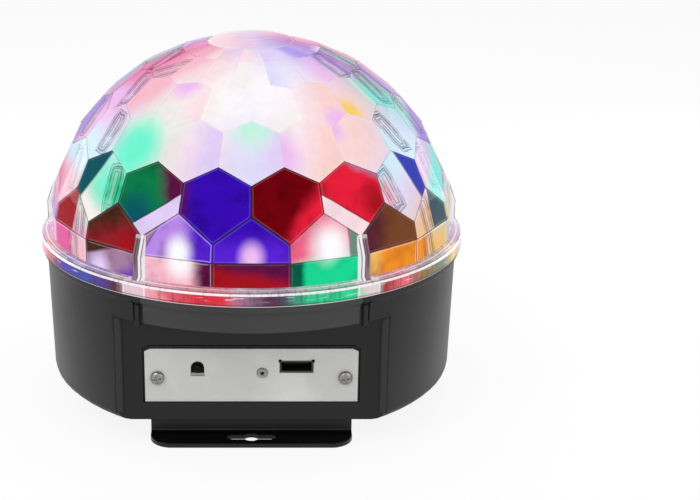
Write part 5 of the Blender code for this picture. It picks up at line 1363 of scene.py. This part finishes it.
class Shop:
    """Tools that turn outlines and profiles into pieces."""

    @staticmethod
    def place(
        name: str, mesh: bmesh.types.BMesh | bpy.types.Mesh, finish: Finish, slot: str,
        stands_for: Iterable[str] = (), smooth: float | None = SMOOTH_ANGLE,
    ) -> None:
        """Makes a piece and hands it to the part's base.

        Args:
            name: The piece's name.
            mesh: Its mesh.
            finish: Its finish.
            slot: Not used.
            stands_for: The nodes that it replaces.
            smooth: Edges sharper than this many degrees stay sharp, or None for flat faces.
        """
        if isinstance(mesh, bmesh.types.BMesh):
            data = bpy.data.meshes.new(name)
            mesh.to_mesh(data)
            mesh.free()
        else:
            data = mesh
        data.materials.clear()
        data.materials.append(finish.material())
        if smooth is not None:
            data.shade_smooth()
            data.set_sharp_from_angle(angle=math.radians(smooth))
        made = linked(name, data)
        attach(made, BASE_BODY)
        for node in stands_for:
            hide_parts(node)
        LOG.info("%s: %d faces", name, len(data.polygons))

    @staticmethod
    def keep(data: bpy.types.Mesh, name: str, kind: str, domain: str, values: Sequence[float]) -> None:
        """Stores an attribute on a mesh.

        Args:
            data: The mesh.
            name: The attribute's name.
            kind: FLOAT_COLOR or FLOAT_VECTOR.
            domain: What each of its values belongs to.
            values: The values, one after the other.
        """
        key = "color" if kind == "FLOAT_COLOR" else "vector"
        data.attributes.new(name, kind, domain).data.foreach_set(key, values)

    @staticmethod
    def turned(profile: Outline, steps: int, matrix: Matrix | None = None) -> bmesh.types.BMesh:
        """Turns a profile of (radius, height) points about Z.

        Args:
            profile: Points from the axis to the axis, or a profile that closes on itself.
            steps: Steps round the turn.
            matrix: Where the turned form goes.

        Returns:
            A closed mesh.
        """
        mesh = bmesh.new()
        matrix = matrix or Matrix()
        turns = [2 * math.pi * step / steps for step in range(steps)]
        around = [(math.cos(turn), math.sin(turn)) for turn in turns]
        rings: list[list[bmesh.types.BMVert]] = []
        for radius, height in profile:
            if radius == 0:
                rings.append([mesh.verts.new(matrix @ Vector((0, 0, height)))])
            else:
                spots = [Vector((radius * x, radius * y, height)) for x, y in around]
                rings.append([mesh.verts.new(matrix @ spot) for spot in spots])
        closed = profile[0][0] > 0
        for first, second in list(zip(rings, rings[1:])) + ([(rings[-1], rings[0])] if closed else []):
            for step in range(steps):
                after = (step + 1) % steps
                corners = [first[step % len(first)], first[after % len(first)]]
                corners += [second[after % len(second)], second[step % len(second)]]
                mesh.faces.new(list(dict.fromkeys(corners)))
        bmesh.ops.recalc_face_normals(mesh, faces=mesh.faces[:])
        return mesh

    @staticmethod
    def prism(
        outline: Outline, low: float, high: float, matrix: Matrix | None = None
    ) -> bmesh.types.BMesh:
        """Fills an outline in X and Y between two heights.

        Args:
            outline: Its corners in order.
            low: The lower height.
            high: The upper height.
            matrix: Where the form goes.

        Returns:
            A closed mesh.
        """
        mesh = bmesh.new()
        matrix = matrix or Matrix()
        lower = [mesh.verts.new(matrix @ Vector((x, y, low))) for x, y in outline]
        upper = [mesh.verts.new(matrix @ Vector((x, y, high))) for x, y in outline]
        mesh.faces.new(lower)
        mesh.faces.new(upper)
        for index in range(len(outline)):
            after = (index + 1) % len(outline)
            mesh.faces.new((lower[index], lower[after], upper[after], upper[index]))
        bmesh.ops.recalc_face_normals(mesh, faces=mesh.faces[:])
        return mesh

    @staticmethod
    def rounded(
        mesh: bmesh.types.BMesh, edges: Sequence[bmesh.types.BMEdge], width: float, steps: int
    ) -> None:
        """Rounds some edges.

        Args:
            mesh: The mesh that has them.
            edges: The edges.
            width: How far the rounding reaches.
            steps: Steps across it.
        """
        shape = {"profile": 0.5, "affect": "EDGES", "clamp_overlap": True}
        bmesh.ops.bevel(mesh, geom=edges, offset=width, segments=steps, **shape)

    @staticmethod
    def bevelled(
        mesh: bmesh.types.BMesh, width: float, angle: float, steps: int = 2
    ) -> bmesh.types.BMesh:
        """Rounds all the sharp edges.

        Args:
            mesh: The mesh.
            width: How far the rounding reaches.
            angle: Edges sharper than this many degrees are rounded.
            steps: Steps across the rounding.

        Returns:
            The same mesh.
        """
        limit = math.radians(angle)
        folds = [edge for edge in mesh.edges if len(edge.link_faces) == 2]
        Shop.rounded(mesh, [edge for edge in folds if edge.calc_face_angle() > limit], width, steps)
        return mesh

    @staticmethod
    def carved(mesh: bmesh.types.BMesh, cutters: Sequence[bmesh.types.BMesh]) -> bmesh.types.BMesh:
        """Cuts shapes out of a mesh.

        Args:
            mesh: The closed mesh that is cut.
            cutters: Closed meshes that are taken away.

        Returns:
            What is left.
        """
        objects = []
        for form in (mesh, *cutters):
            data = bpy.data.meshes.new("blank")
            form.to_mesh(data)
            form.free()
            objects.append(linked("blank", data))
        for cutter in objects[1:]:
            step = objects[0].modifiers.new("cut", "BOOLEAN")
            step.operation, step.solver, step.object = "DIFFERENCE", "EXACT", cutter
        bpy.context.view_layer.update()
        settled = objects[0].evaluated_get(bpy.context.evaluated_depsgraph_get())
        result = bmesh.new()
        result.from_mesh(settled.to_mesh())
        settled.to_mesh_clear()
        for thing in objects:
            data = thing.data
            bpy.data.objects.remove(thing)
            bpy.data.meshes.remove(data)
        return result


FRONT_TURN = Matrix.Rotation(math.pi / 2, 4, "X")


@dataclass
class LitDome:
    """The clear dome: its acrylic shell, the light in its facets, its flange, posts and top lens."""

    wall: float = 0.0028
    rim_rise: float = 0.0007
    light_depth: float = 0.0012
    light_rise: float = 0.0012
    unit: float = 0.0155
    border: float = 0.0045
    border_share: float = 0.6
    edge: float = 0.00025
    flange_radius: float = 0.1017
    flange_inner: float = 0.0962
    flange_height: float = 0.0068
    flange_step: float = 0.0016
    flange_round: float = 0.0003
    flange_lip: float = 0.0014
    flange_dip: float = 0.0004
    flange_slope: float = 0.0012
    flange_sides: int = 144
    post_bearings: tuple[int, ...] = (-150, -90, -30, 30, 90, 150)
    post_width: float = 0.0047
    post_top: float = 0.02627
    post_rise: float = 0.0014
    post_top_rise: float = 0.0003
    post_foot: float = 0.1000
    post_root: float = 0.0006
    post_gap: float = 0.0002
    post_flat: float = 0.86
    post_round: float = 0.0005
    cap_radius: float = 0.0192
    cap_rise: float = 0.0030
    cap_rings: int = 4
    cap_ring_steps: int = 8
    cap_ripple: float = 0.00007
    cap_sides: int = 72
    lattice: Lattice = field(default_factory=Lattice)
    cells: dict[Row, dict[int, Cell]] = field(default_factory=lit_cells)

    def build(self) -> None:
        """Builds and dresses every piece of the dome."""
        self._shell()
        self._light()
        self._flange()
        self._posts()
        self._top_lens()

    @staticmethod
    def _place(
        name: str, mesh: bmesh.types.BMesh | bpy.types.Mesh, finish: Finish,
        smooth: float | None = SMOOTH_ANGLE,
    ) -> None:
        """Hands over a piece that stands for the part's plain dome.

        Args:
            name: The piece's name.
            mesh: Its mesh.
            finish: Its finish.
            smooth: Edges sharper than this many degrees stay sharp, or None for flat faces.
        """
        Shop.place(name, mesh, finish, "dome_clear", stands_for=["clear_dome"], smooth=smooth)

    def _form(self, inset: float) -> bmesh.types.BMesh:
        """The closed many-sided form at an inset.

        Args:
            inset: How far inside the dome's outer faces it lies.

        Returns:
            A closed mesh.
        """
        mesh = bmesh.new()
        for facet in self.lattice.facets(inset, self.rim_rise):
            mesh.faces.new([mesh.verts.new(corner) for corner in facet.corners])
        bmesh.ops.remove_doubles(mesh, verts=mesh.verts[:], dist=CORNER_GAP)
        rim = [edge for edge in mesh.edges if len(edge.link_faces) == 1]
        bmesh.ops.contextual_create(mesh, geom=rim)
        bmesh.ops.recalc_face_normals(mesh, faces=mesh.faces[:])
        return mesh

    def _shell(self) -> None:
        """The acrylic shell, with its edges just broken and a flat ring under it."""
        shell = Shop.bevelled(self._form(0.0), self.edge, 4, 2)
        inner = self._form(self.wall)
        data = bpy.data.meshes.new("hollow")
        inner.to_mesh(data)
        inner.free()
        shell.from_mesh(data)
        bpy.data.meshes.remove(data)
        shell.normal_update()
        under = [face for face in shell.faces if face.normal.z < DOWNWARD]
        bmesh.ops.delete(shell, geom=under, context="FACES")
        rim = [edge for edge in shell.edges if edge.is_boundary]
        bmesh.ops.triangle_fill(shell, use_beauty=True, edges=rim)
        bmesh.ops.recalc_face_normals(shell, faces=shell.faces[:])
        self._place("dome_shell", shell, DOME_CLEAR, smooth=6.0)

    def _cell(self, facet: Facet) -> Cell:
        """The light on a facet: the rear half of the dome repeats the front half.

        Args:
            facet: The facet.

        Returns:
            Its light.
        """
        bearing = (facet.bearing + 90) % 180 - 90
        row = self.cells[facet.row]
        return row[min(row, key=lambda known: abs(known - bearing))]

    def _light(self) -> None:
        """A skin in the shell's wall that carries each facet's light."""
        corners: list[Vector] = []
        faces: list[list[int]] = []
        places: list[float] = []
        fills: list[float] = []
        sides: list[float] = []
        looks: list[Cell] = []
        facets = self.lattice.facets(self.light_depth, self.light_rise)
        glow = Glow([(self._toward(facet.centre), self._cell(facet)) for facet in facets])
        for facet in facets:
            cell, inradius = self._cell(facet), facet.inradius()
            reach = min(self.border, self.border_share * inradius)
            count, start = len(facet.corners), len(corners)
            spots = facet.corners + facet.shrunk(reach) + [facet.middle]
            gaps = [0.0] * count + [reach * MILLIMETRES] * count + [inradius * MILLIMETRES]
            corners += spots
            for index in range(count):
                after = (index + 1) % count
                edge = [index, after, count + after, count + index]
                for piece in (edge, [count + index, count + after, 2 * count]):
                    faces.append([start + corner for corner in piece])
                    looks.append(cell)
                    for corner in piece:
                        places += [*self._spot(facet, spots[corner]), gaps[corner]]
                        fills += glow.at(self._toward(spots[corner])) if cell.clear else cell.fill.paint
                        sides += cell.side.paint
        data = bpy.data.meshes.new("dome_light")
        data.from_pydata(corners, [], faces)
        Shop.keep(data, "cell_place", "FLOAT_VECTOR", "CORNER", places)
        Shop.keep(data, "fill", "FLOAT_COLOR", "CORNER", fills)
        Shop.keep(data, "side", "FLOAT_COLOR", "CORNER", sides)
        gels = {"spot": [look.spot for look in looks], "corner": [look.corner for look in looks]}
        for name, row in gels.items():
            Shop.keep(data, name, "FLOAT_COLOR", "FACE", [part for gel in row for part in gel.paint])
        for name, read in self._vectors().items():
            Shop.keep(data, name, "FLOAT_VECTOR", "FACE", [part for look in looks for part in read(look)])
        self._place("dome_light", data, CellLight("cell_light"), smooth=None)

    @staticmethod
    def _toward(spot: Vector) -> Vector:
        """The direction from the dome's centre to a point."""
        return (spot - Vector((0, 0, DOME_Z))).normalized()

    def _spot(self, facet: Facet, corner: Vector) -> tuple[float, float]:
        """A corner's place on its facet, in facet units from the facet's middle."""
        away = corner - facet.middle
        return away.dot(facet.right) / self.unit, away.dot(facet.up) / self.unit

    @staticmethod
    def _vectors() -> dict[str, Callable[[Cell], Point]]:
        """The cell's directions, places and strengths, by attribute.

        Returns:
            A function for each attribute, which reads its three numbers from a cell.
        """

        def axis(turn: float, split: float) -> Point:
            """A direction on the facet, and how far along it something starts."""
            return (math.cos(math.radians(turn)), math.sin(math.radians(turn)), split)

        return {
            "side_axis": lambda cell: axis(cell.side_turn, cell.side_split),
            "corner_axis": lambda cell: axis(cell.corner_turn, cell.corner_split),
            "fold_axis": lambda cell: axis(*cell.fold[1:]),
            "spot_place": lambda cell: (*cell.spot_at, cell.spot_size),
            "cell_style": lambda cell: (cell.soft, cell.line, cell.fold[0]),
            "cell_depth": lambda cell: (cell.glint, CLEAR_DEPTH if cell.clear else 1.0, 0.0),
        }

    def _flange(self) -> None:
        """The stepped flange that clips on to the housing."""
        outer, inner, base, soft = self.flange_radius, self.flange_inner, DOME_Z, self.flange_round
        shelf, top = outer - self.flange_step, base + self.flange_height
        step, dip = top - self.flange_step, top - self.flange_dip
        profile = [
            (inner, base + soft),
            (inner + soft, base),
            (outer - soft, base),
            (outer, base + soft),
            (outer, step - soft),
            (outer - soft, step + soft / 2),
            (shelf + soft, top - soft),
            (shelf - soft / 2, top),
            (shelf - self.flange_lip, top),
            (shelf - self.flange_lip - self.flange_dip, dip),
            (inner + self.flange_slope, dip),
            (inner, top),
        ]
        finish = FlangeLight("flange_light", beams=tuple(flange_beams().items()))
        self._place("dome_flange", Shop.turned(profile, self.flange_sides), finish)

    def _post_profile(self) -> Outline:
        """The side view of a post.

        Returns:
            Its corners, as (radius, height over the flange's foot).
        """
        rise = math.radians(self.lattice.rows[0][1])
        corner = 1 / math.cos(math.pi / self.lattice.sectors)
        skirt_top = (self.lattice.face - self.lattice.skirt * math.cos(rise)) / math.sin(rise)
        skirt_edge = self.lattice.skirt * corner + self.post_rise
        wall = (self.lattice.face - self.post_top * math.sin(rise)) / math.cos(rise) * corner
        root, top = wall - self.post_root, self.post_top - self.post_gap
        return [
            (root, self.flange_step),
            (self.post_foot, self.flange_step),
            (self.post_foot, self.flange_height),
            (skirt_edge, self.flange_height + self.post_rise),
            (skirt_edge, skirt_top),
            (wall + self.post_top_rise, top),
            (root, top),
        ]

    def _posts(self) -> None:
        """Six clear posts that run up from the flange over the skirt's corners."""
        profile = self._post_profile()
        root, count = profile[0][0], len(profile)
        columns = (-1.0, -self.post_flat, self.post_flat, 1.0)
        corners: list[Vector] = []
        faces: list[list[int]] = []
        places: list[float] = []
        for bearing in self.post_bearings:
            turn = math.radians(bearing)
            out = Vector((math.sin(turn), -math.cos(turn), 0))
            along = Vector((math.cos(turn), math.sin(turn), 0))
            start = len(corners)
            for share in columns:
                aside = along * (share * self.post_width / 2)
                pull = self.post_round if abs(share) == 1 else 0.0
                for radius, height in profile:
                    reach = radius - (pull if radius > root else 0.0)
                    corners.append(out * reach + aside + Vector((0, 0, DOME_Z + height)))
                    places += [-share if bearing > 0 else share, height / self.post_top, 0.0]
            for column in range(len(columns) - 1):
                for index in range(count):
                    after = (index + 1) % count
                    low, high = start + column * count, start + (column + 1) * count
                    faces.append([low + index, low + after, high + after, high + index])
            faces.append([start + index for index in range(count)])
            faces.append([start + (len(columns) - 1) * count + index for index in reversed(range(count))])
        data = bpy.data.meshes.new("dome_posts")
        data.from_pydata(corners, [], faces)
        Shop.keep(data, "post_place", "FLOAT_VECTOR", "POINT", places)
        tidy = bmesh.new()
        tidy.from_mesh(data)
        bmesh.ops.recalc_face_normals(tidy, faces=tidy.faces[:])
        tidy.to_mesh(data)
        tidy.free()
        self._place("dome_posts", data, PostLight("post_light"))

    def _top_lens(self) -> None:
        """The round lens on the flat top, with concentric ripples."""
        base, radius = DOME_Z + self.lattice.top, self.cap_radius
        steps = self.cap_ring_steps * self.cap_rings
        profile: Outline = [(0, base - self.wall / 2), (radius, base - self.wall / 2), (radius, base)]
        for index in range(1, steps):
            share = index / steps
            rise = self.cap_rise * math.sqrt(1 - (1 - share) ** 2)
            ripple = self.cap_ripple * math.sin(share * self.cap_rings * 2 * math.pi)
            profile.append((radius * (1 - share), base + rise + ripple))
        profile.append((0, base + self.cap_rise))
        self._place("dome_top_lens", Shop.turned(profile, self.cap_sides), DOME_CLEAR)


@dataclass
class HousingTrim:
    """The rounded beads at the two ends of the flat front, and the rib in the panel's pocket, in a paler
    black that is a painted highlight.
    """

    front: float = FRONT
    bead_x: float = 0.0592
    bead_width: float = 0.0031
    bead_rise: float = 0.0012
    bead_root: float = 0.0004
    bead_round: float = 0.0009
    bead_low: float = 0.0172
    bead_high: float = 0.0628
    rib_half: float = 0.0462
    rib_low: float = 0.0488
    rib_height: float = 0.0004
    rib_depth: float = 0.0014
    rib_sunk: float = 0.0002
    rib_bend: float = 0.0012
    rib_drop: float = 0.0009
    rib_inset: float = 0.0010

    def build(self) -> None:
        """Builds and dresses the beads and the rib."""
        for side, word in ((-1, "left"), (1, "right")):
            self._bead(side * self.bead_x, word)
        self._rib()

    def _bead(self, x: float, word: str) -> None:
        """An upright bead with a rounded front and rounded ends.

        Args:
            x: Its middle.
            word: The side it is on.
        """
        half, root, rise = self.bead_width / 2, -self.bead_root, self.bead_rise
        outline = [(-half, root), (half, root), (half, rise), (-half, rise)]
        seat = Matrix.Translation((x, -self.front, 0.0)) @ Matrix.Rotation(math.pi, 4, "Z")
        bead = Shop.prism(outline, self.bead_low, self.bead_high, seat)
        proud = -self.front - rise / 2
        edges = [edge for edge in bead.edges if all(corner.co.y < proud for corner in edge.verts)]
        Shop.rounded(bead, edges, self.bead_round, 4)
        Shop.place("edge_bead_" + word, bead, SHEEN_BLACK, "housing_black", smooth=50.0)

    def _rib(self) -> None:
        """The thin rib that shows over the panel's top edge, bent down at its two ends."""
        half, low, high = self.rib_half, self.rib_low, self.rib_low + self.rib_height
        bend, drop = self.rib_bend, low - self.rib_drop
        out, over = half + self.rib_bend / 4, drop + self.rib_drop / 3
        right = [(half - bend, low), (half, drop), (out, over), (half - self.rib_inset, high)]
        left = [(-x, z) for x, z in reversed(right)]
        seat = Matrix.Translation((0.0, -self.front, 0.0)) @ FRONT_TURN
        rib = Shop.prism(left + right, -self.rib_depth, -self.rib_sunk, seat)
        Shop.place("pocket_rib", rib, SHEEN_BLACK, "housing_black")


@dataclass
class ControlPanel:
    """The fine pieces in the silver panel: its screws, the window's lip and the indicator's ring."""

    front: float = FRONT
    screw_x: float = 0.0421
    screw_z: float = 0.0339
    screw_turn: float = 12.0
    head_radius: float = 0.00315
    head_height: float = 0.0020
    head_rim: float = 0.2
    head_fullness: float = 0.8
    head_steps: int = 7
    head_break: float = 0.00008
    shank_radius: float = 0.00145
    shank_length: float = 0.008
    recess_length: float = 0.0042
    recess_width: float = 0.00085
    recess_depth: float = 0.0009
    window: tuple[float, float] = (-0.0241, 0.0350)
    lip_width: float = 0.0058
    lip_height: float = 0.0012
    lip_depth: float = 0.0012
    lip_proud: float = 0.0002
    ring: tuple[float, float] = (0.0049, 0.0361)
    ring_radius: float = 0.00235
    ring_bore: float = 0.0009
    ring_rise: float = 0.0008
    ring_round: float = 0.0003
    sides: int = 40

    def build(self) -> None:
        """Builds and dresses the panel's pieces."""
        for side, word in ((-1, "left"), (1, "right")):
            self._screw(side * self.screw_x, word)
        self._lip()
        self._ring()

    def _seat(self, x: float, z: float) -> Matrix:
        """A place on the panel's face, with +Z out of the panel."""
        return Matrix.Translation((x, -self.front, z)) @ FRONT_TURN

    @staticmethod
    def _block(
        width: float, low: float, high: float, depth: tuple[float, float], seat: Matrix
    ) -> bmesh.types.BMesh:
        """A block that is centred across.

        Args:
            width: Its width.
            low: Its lower edge.
            high: Its upper edge.
            depth: Where it starts and ends, out of the panel.
            seat: Where it goes.

        Returns:
            A closed mesh.
        """
        half = width / 2
        return Shop.prism([(-half, low), (half, low), (half, high), (-half, high)], *depth, seat)

    def _lip(self) -> None:
        """The pale lip at the foot of the receiver's window."""
        depth = (-self.lip_depth, self.lip_proud)
        lip = self._block(self.lip_width, 0, self.lip_height, depth, self._seat(*self.window))
        Shop.place("window_lip", Shop.bevelled(lip, self.lip_proud, 30), LIP_GREY, "panel_silver")

    def _ring(self) -> None:
        """The round collar of the indicator."""
        outer, inner, rise, soft = self.ring_radius, self.ring_bore, self.ring_rise, self.ring_round
        profile = [
            (inner, -rise),
            (outer - soft * 2 / 3, -rise),
            (outer, soft / 3),
            (outer - soft, soft * 2),
            (inner + soft * 2, rise),
            (inner, soft),
        ]
        ring = Shop.turned(profile, self.sides, self._seat(*self.ring))
        Shop.place("indicator_ring", ring, LIP_GREY, "panel_silver", smooth=50.0)

    def _screw(self, x: float, word: str) -> None:
        """A domed screw with a crossed recess.

        Args:
            x: Its middle.
            word: The side it is on.
        """
        radius, height, shank = self.head_radius, self.head_height, self.shank_radius
        bottom = -self.shank_length
        profile: Outline = [(0, bottom), (shank, bottom), (shank, 0), (radius, 0)]
        profile.append((radius, height * self.head_rim))
        for step in range(1, self.head_steps):
            turn = math.pi / 2 * step / self.head_steps
            rise = self.head_rim + (1 - self.head_rim) * math.sin(turn)
            profile.append((radius * math.cos(turn) ** self.head_fullness, height * rise))
        profile.append((0, height))
        depth = (height - self.recess_depth, height + self.recess_depth)
        cutters = []
        for long, wide in (
            (self.recess_length, self.recess_width),
            (self.recess_width, self.recess_length),
        ):
            cutters.append(self._block(long, -wide / 2, wide / 2, depth, Matrix()))
        head = Shop.carved(Shop.turned(profile, self.sides), cutters)
        head = Shop.bevelled(head, self.head_break, 35, 1)
        seat = self._seat(x, self.screw_z) @ Matrix.Rotation(math.radians(self.screw_turn), 4, "Z")
        bmesh.ops.transform(head, matrix=seat, verts=head.verts[:])
        name = "panel_screw_" + word
        Shop.place(name + "_fine", head, SCREW_STEEL, "screw_steel", stands_for=[name], smooth=28.0)


@dataclass(frozen=True)
class Lamp:
    """A soft square lamp."""

    name: str
    spot: Point
    size: float
    power: float


@dataclass
class Studio:
    """A pale floor, soft lamps and a camera at the photograph's angle."""

    lens: float = 74.71
    sensor: float = 36.0
    elevation: float = 18.195
    distance: float = 0.71006
    target: Point = (0.0, 0.0, DOME_Z)
    shift: tuple[float, float] = (0.14086, -0.02457)
    nearest: float = 0.01
    lit_point: Point = (0.0, 0.0, 0.08)
    fill: float = 0.6
    floor_white: float = 0.88
    floor_grey: float = 0.92
    floor_reach: float = 6.0
    lamps: tuple[Lamp, ...] = (
        Lamp("key", (-0.55, -0.75, 0.95), 0.6, 4.5),
        Lamp("fill", (0.75, -0.6, 0.6), 0.7, 1.8),
        Lamp("left_strip", (-0.6, 0.35, 0.22), 0.35, 1.4),
        Lamp("right_strip", (0.6, 0.35, 0.22), 0.35, 1.2),
        Lamp("top", (0.0, 0.2, 1.1), 0.7, 2.5),
    )

    def build(self) -> None:
        """Builds the floor, the world, the lamps and the camera."""
        self._world()
        self._floor()
        for lamp in self.lamps:
            self._light(lamp)
        self._camera()

    @staticmethod
    def _sees_background(graph: Graph) -> Value:
        """1 for rays from the camera, gloss and clear pieces.

        Args:
            graph: The nodes that use it.

        Returns:
            The mask.
        """
        path = graph.node("ShaderNodeLightPath")
        camera, glossy, through = (
            Value(graph, path.outputs[f"Is {kind} Ray"]) for kind in ("Camera", "Glossy", "Transmission")
        )
        return camera.or_more(glossy).or_more(through)

    def _world(self) -> None:
        """White to the camera, softer to the surfaces."""
        world = bpy.data.worlds.new("studio")
        bpy.context.scene.world = world
        graph = Graph(world)
        sky = graph.mix(grey(self.fill), WHITE, self._sees_background(graph))
        graph.end(graph.node("ShaderNodeBackground", inputs={"Color": sky}))

    def _floor(self) -> None:
        """A white floor that keeps a soft shadow."""
        graph = Graph(bpy.data.materials.new("studio_floor"))
        diffuse = graph.node("ShaderNodeBsdfDiffuse", inputs={"Color": grey(self.floor_grey)})
        glow = graph.node("ShaderNodeEmission", inputs={"Color": WHITE, "Strength": 1.0})
        factor = self._sees_background(graph) * self.floor_white
        inputs: dict[str | int, Feed] = {0: factor, 1: diffuse.outputs[0], 2: glow.outputs[0]}
        graph.end(graph.node("ShaderNodeMixShader", inputs=inputs))
        data = bpy.data.meshes.new("studio_floor")
        corners = [(x * self.floor_reach, y * self.floor_reach, 0) for x, y in SQUARE]
        data.from_pydata(corners, [], [(0, 1, 2, 3)])
        data.materials.append(graph.owner)
        linked("studio_floor", data)

    def _light(self, lamp: Lamp) -> None:
        """Hangs a lamp that faces the object.

        Args:
            lamp: The lamp.
        """
        data = bpy.data.lights.new(lamp.name, "AREA")
        data.shape, data.size, data.energy = "SQUARE", lamp.size, lamp.power
        made = linked(lamp.name, data)
        made.location = lamp.spot
        made.rotation_euler = (Vector(self.lit_point) - made.location).to_track_quat("-Z", "Y").to_euler()

    def _camera(self) -> None:
        """The camera, with the object left of the middle as in the photograph."""
        data = bpy.data.cameras.new("camera")
        data.lens, data.sensor_width = self.lens, self.sensor
        data.shift_x, data.shift_y = self.shift
        data.clip_start = self.nearest
        rise = math.radians(self.elevation)
        away = Vector((0, -math.cos(rise), math.sin(rise))) * self.distance
        camera = linked("camera", data)
        camera.location = Vector(self.target) + away
        camera.rotation_euler = (-away).to_track_quat("-Z", "Y").to_euler()
        bpy.context.scene.camera = camera


def dress_nodes(frame: Mapping[str, Any]) -> None:
    """Gives every node of the part its finish.

    Args:
        frame: The loaded part.
    """
    slots = {entry["node"]: entry["material_slot"] for entry in frame["record"]["subparts"]}
    for name, node in frame["nodes"].items():
        node.data.materials.clear()
        node.data.materials.append(NODE_FINISHES.get(name, SLOT_FINISHES[slots[name]]).material())
        node.data.shade_smooth()
        node.modifiers.new("weld", "WELD").merge_threshold = WELD_GAP
        split = node.modifiers.new("split", "EDGE_SPLIT")
        split.split_angle, split.use_edge_sharp = math.radians(SMOOTH_ANGLE), False


def main() -> None:
    """Dresses the part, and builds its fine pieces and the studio."""
    logging.basicConfig(level=logging.INFO, format="%(name)s %(message)s")
    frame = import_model()
    scene = bpy.context.scene
    scene.view_settings.view_transform = "Standard"
    dress_nodes(frame)
    for assembly in (LitDome(), HousingTrim(), ControlPanel(), Studio()):
        LOG.info("building %s", type(assembly).__name__)
        assembly.build()


if __name__ == "__main__":
    main()
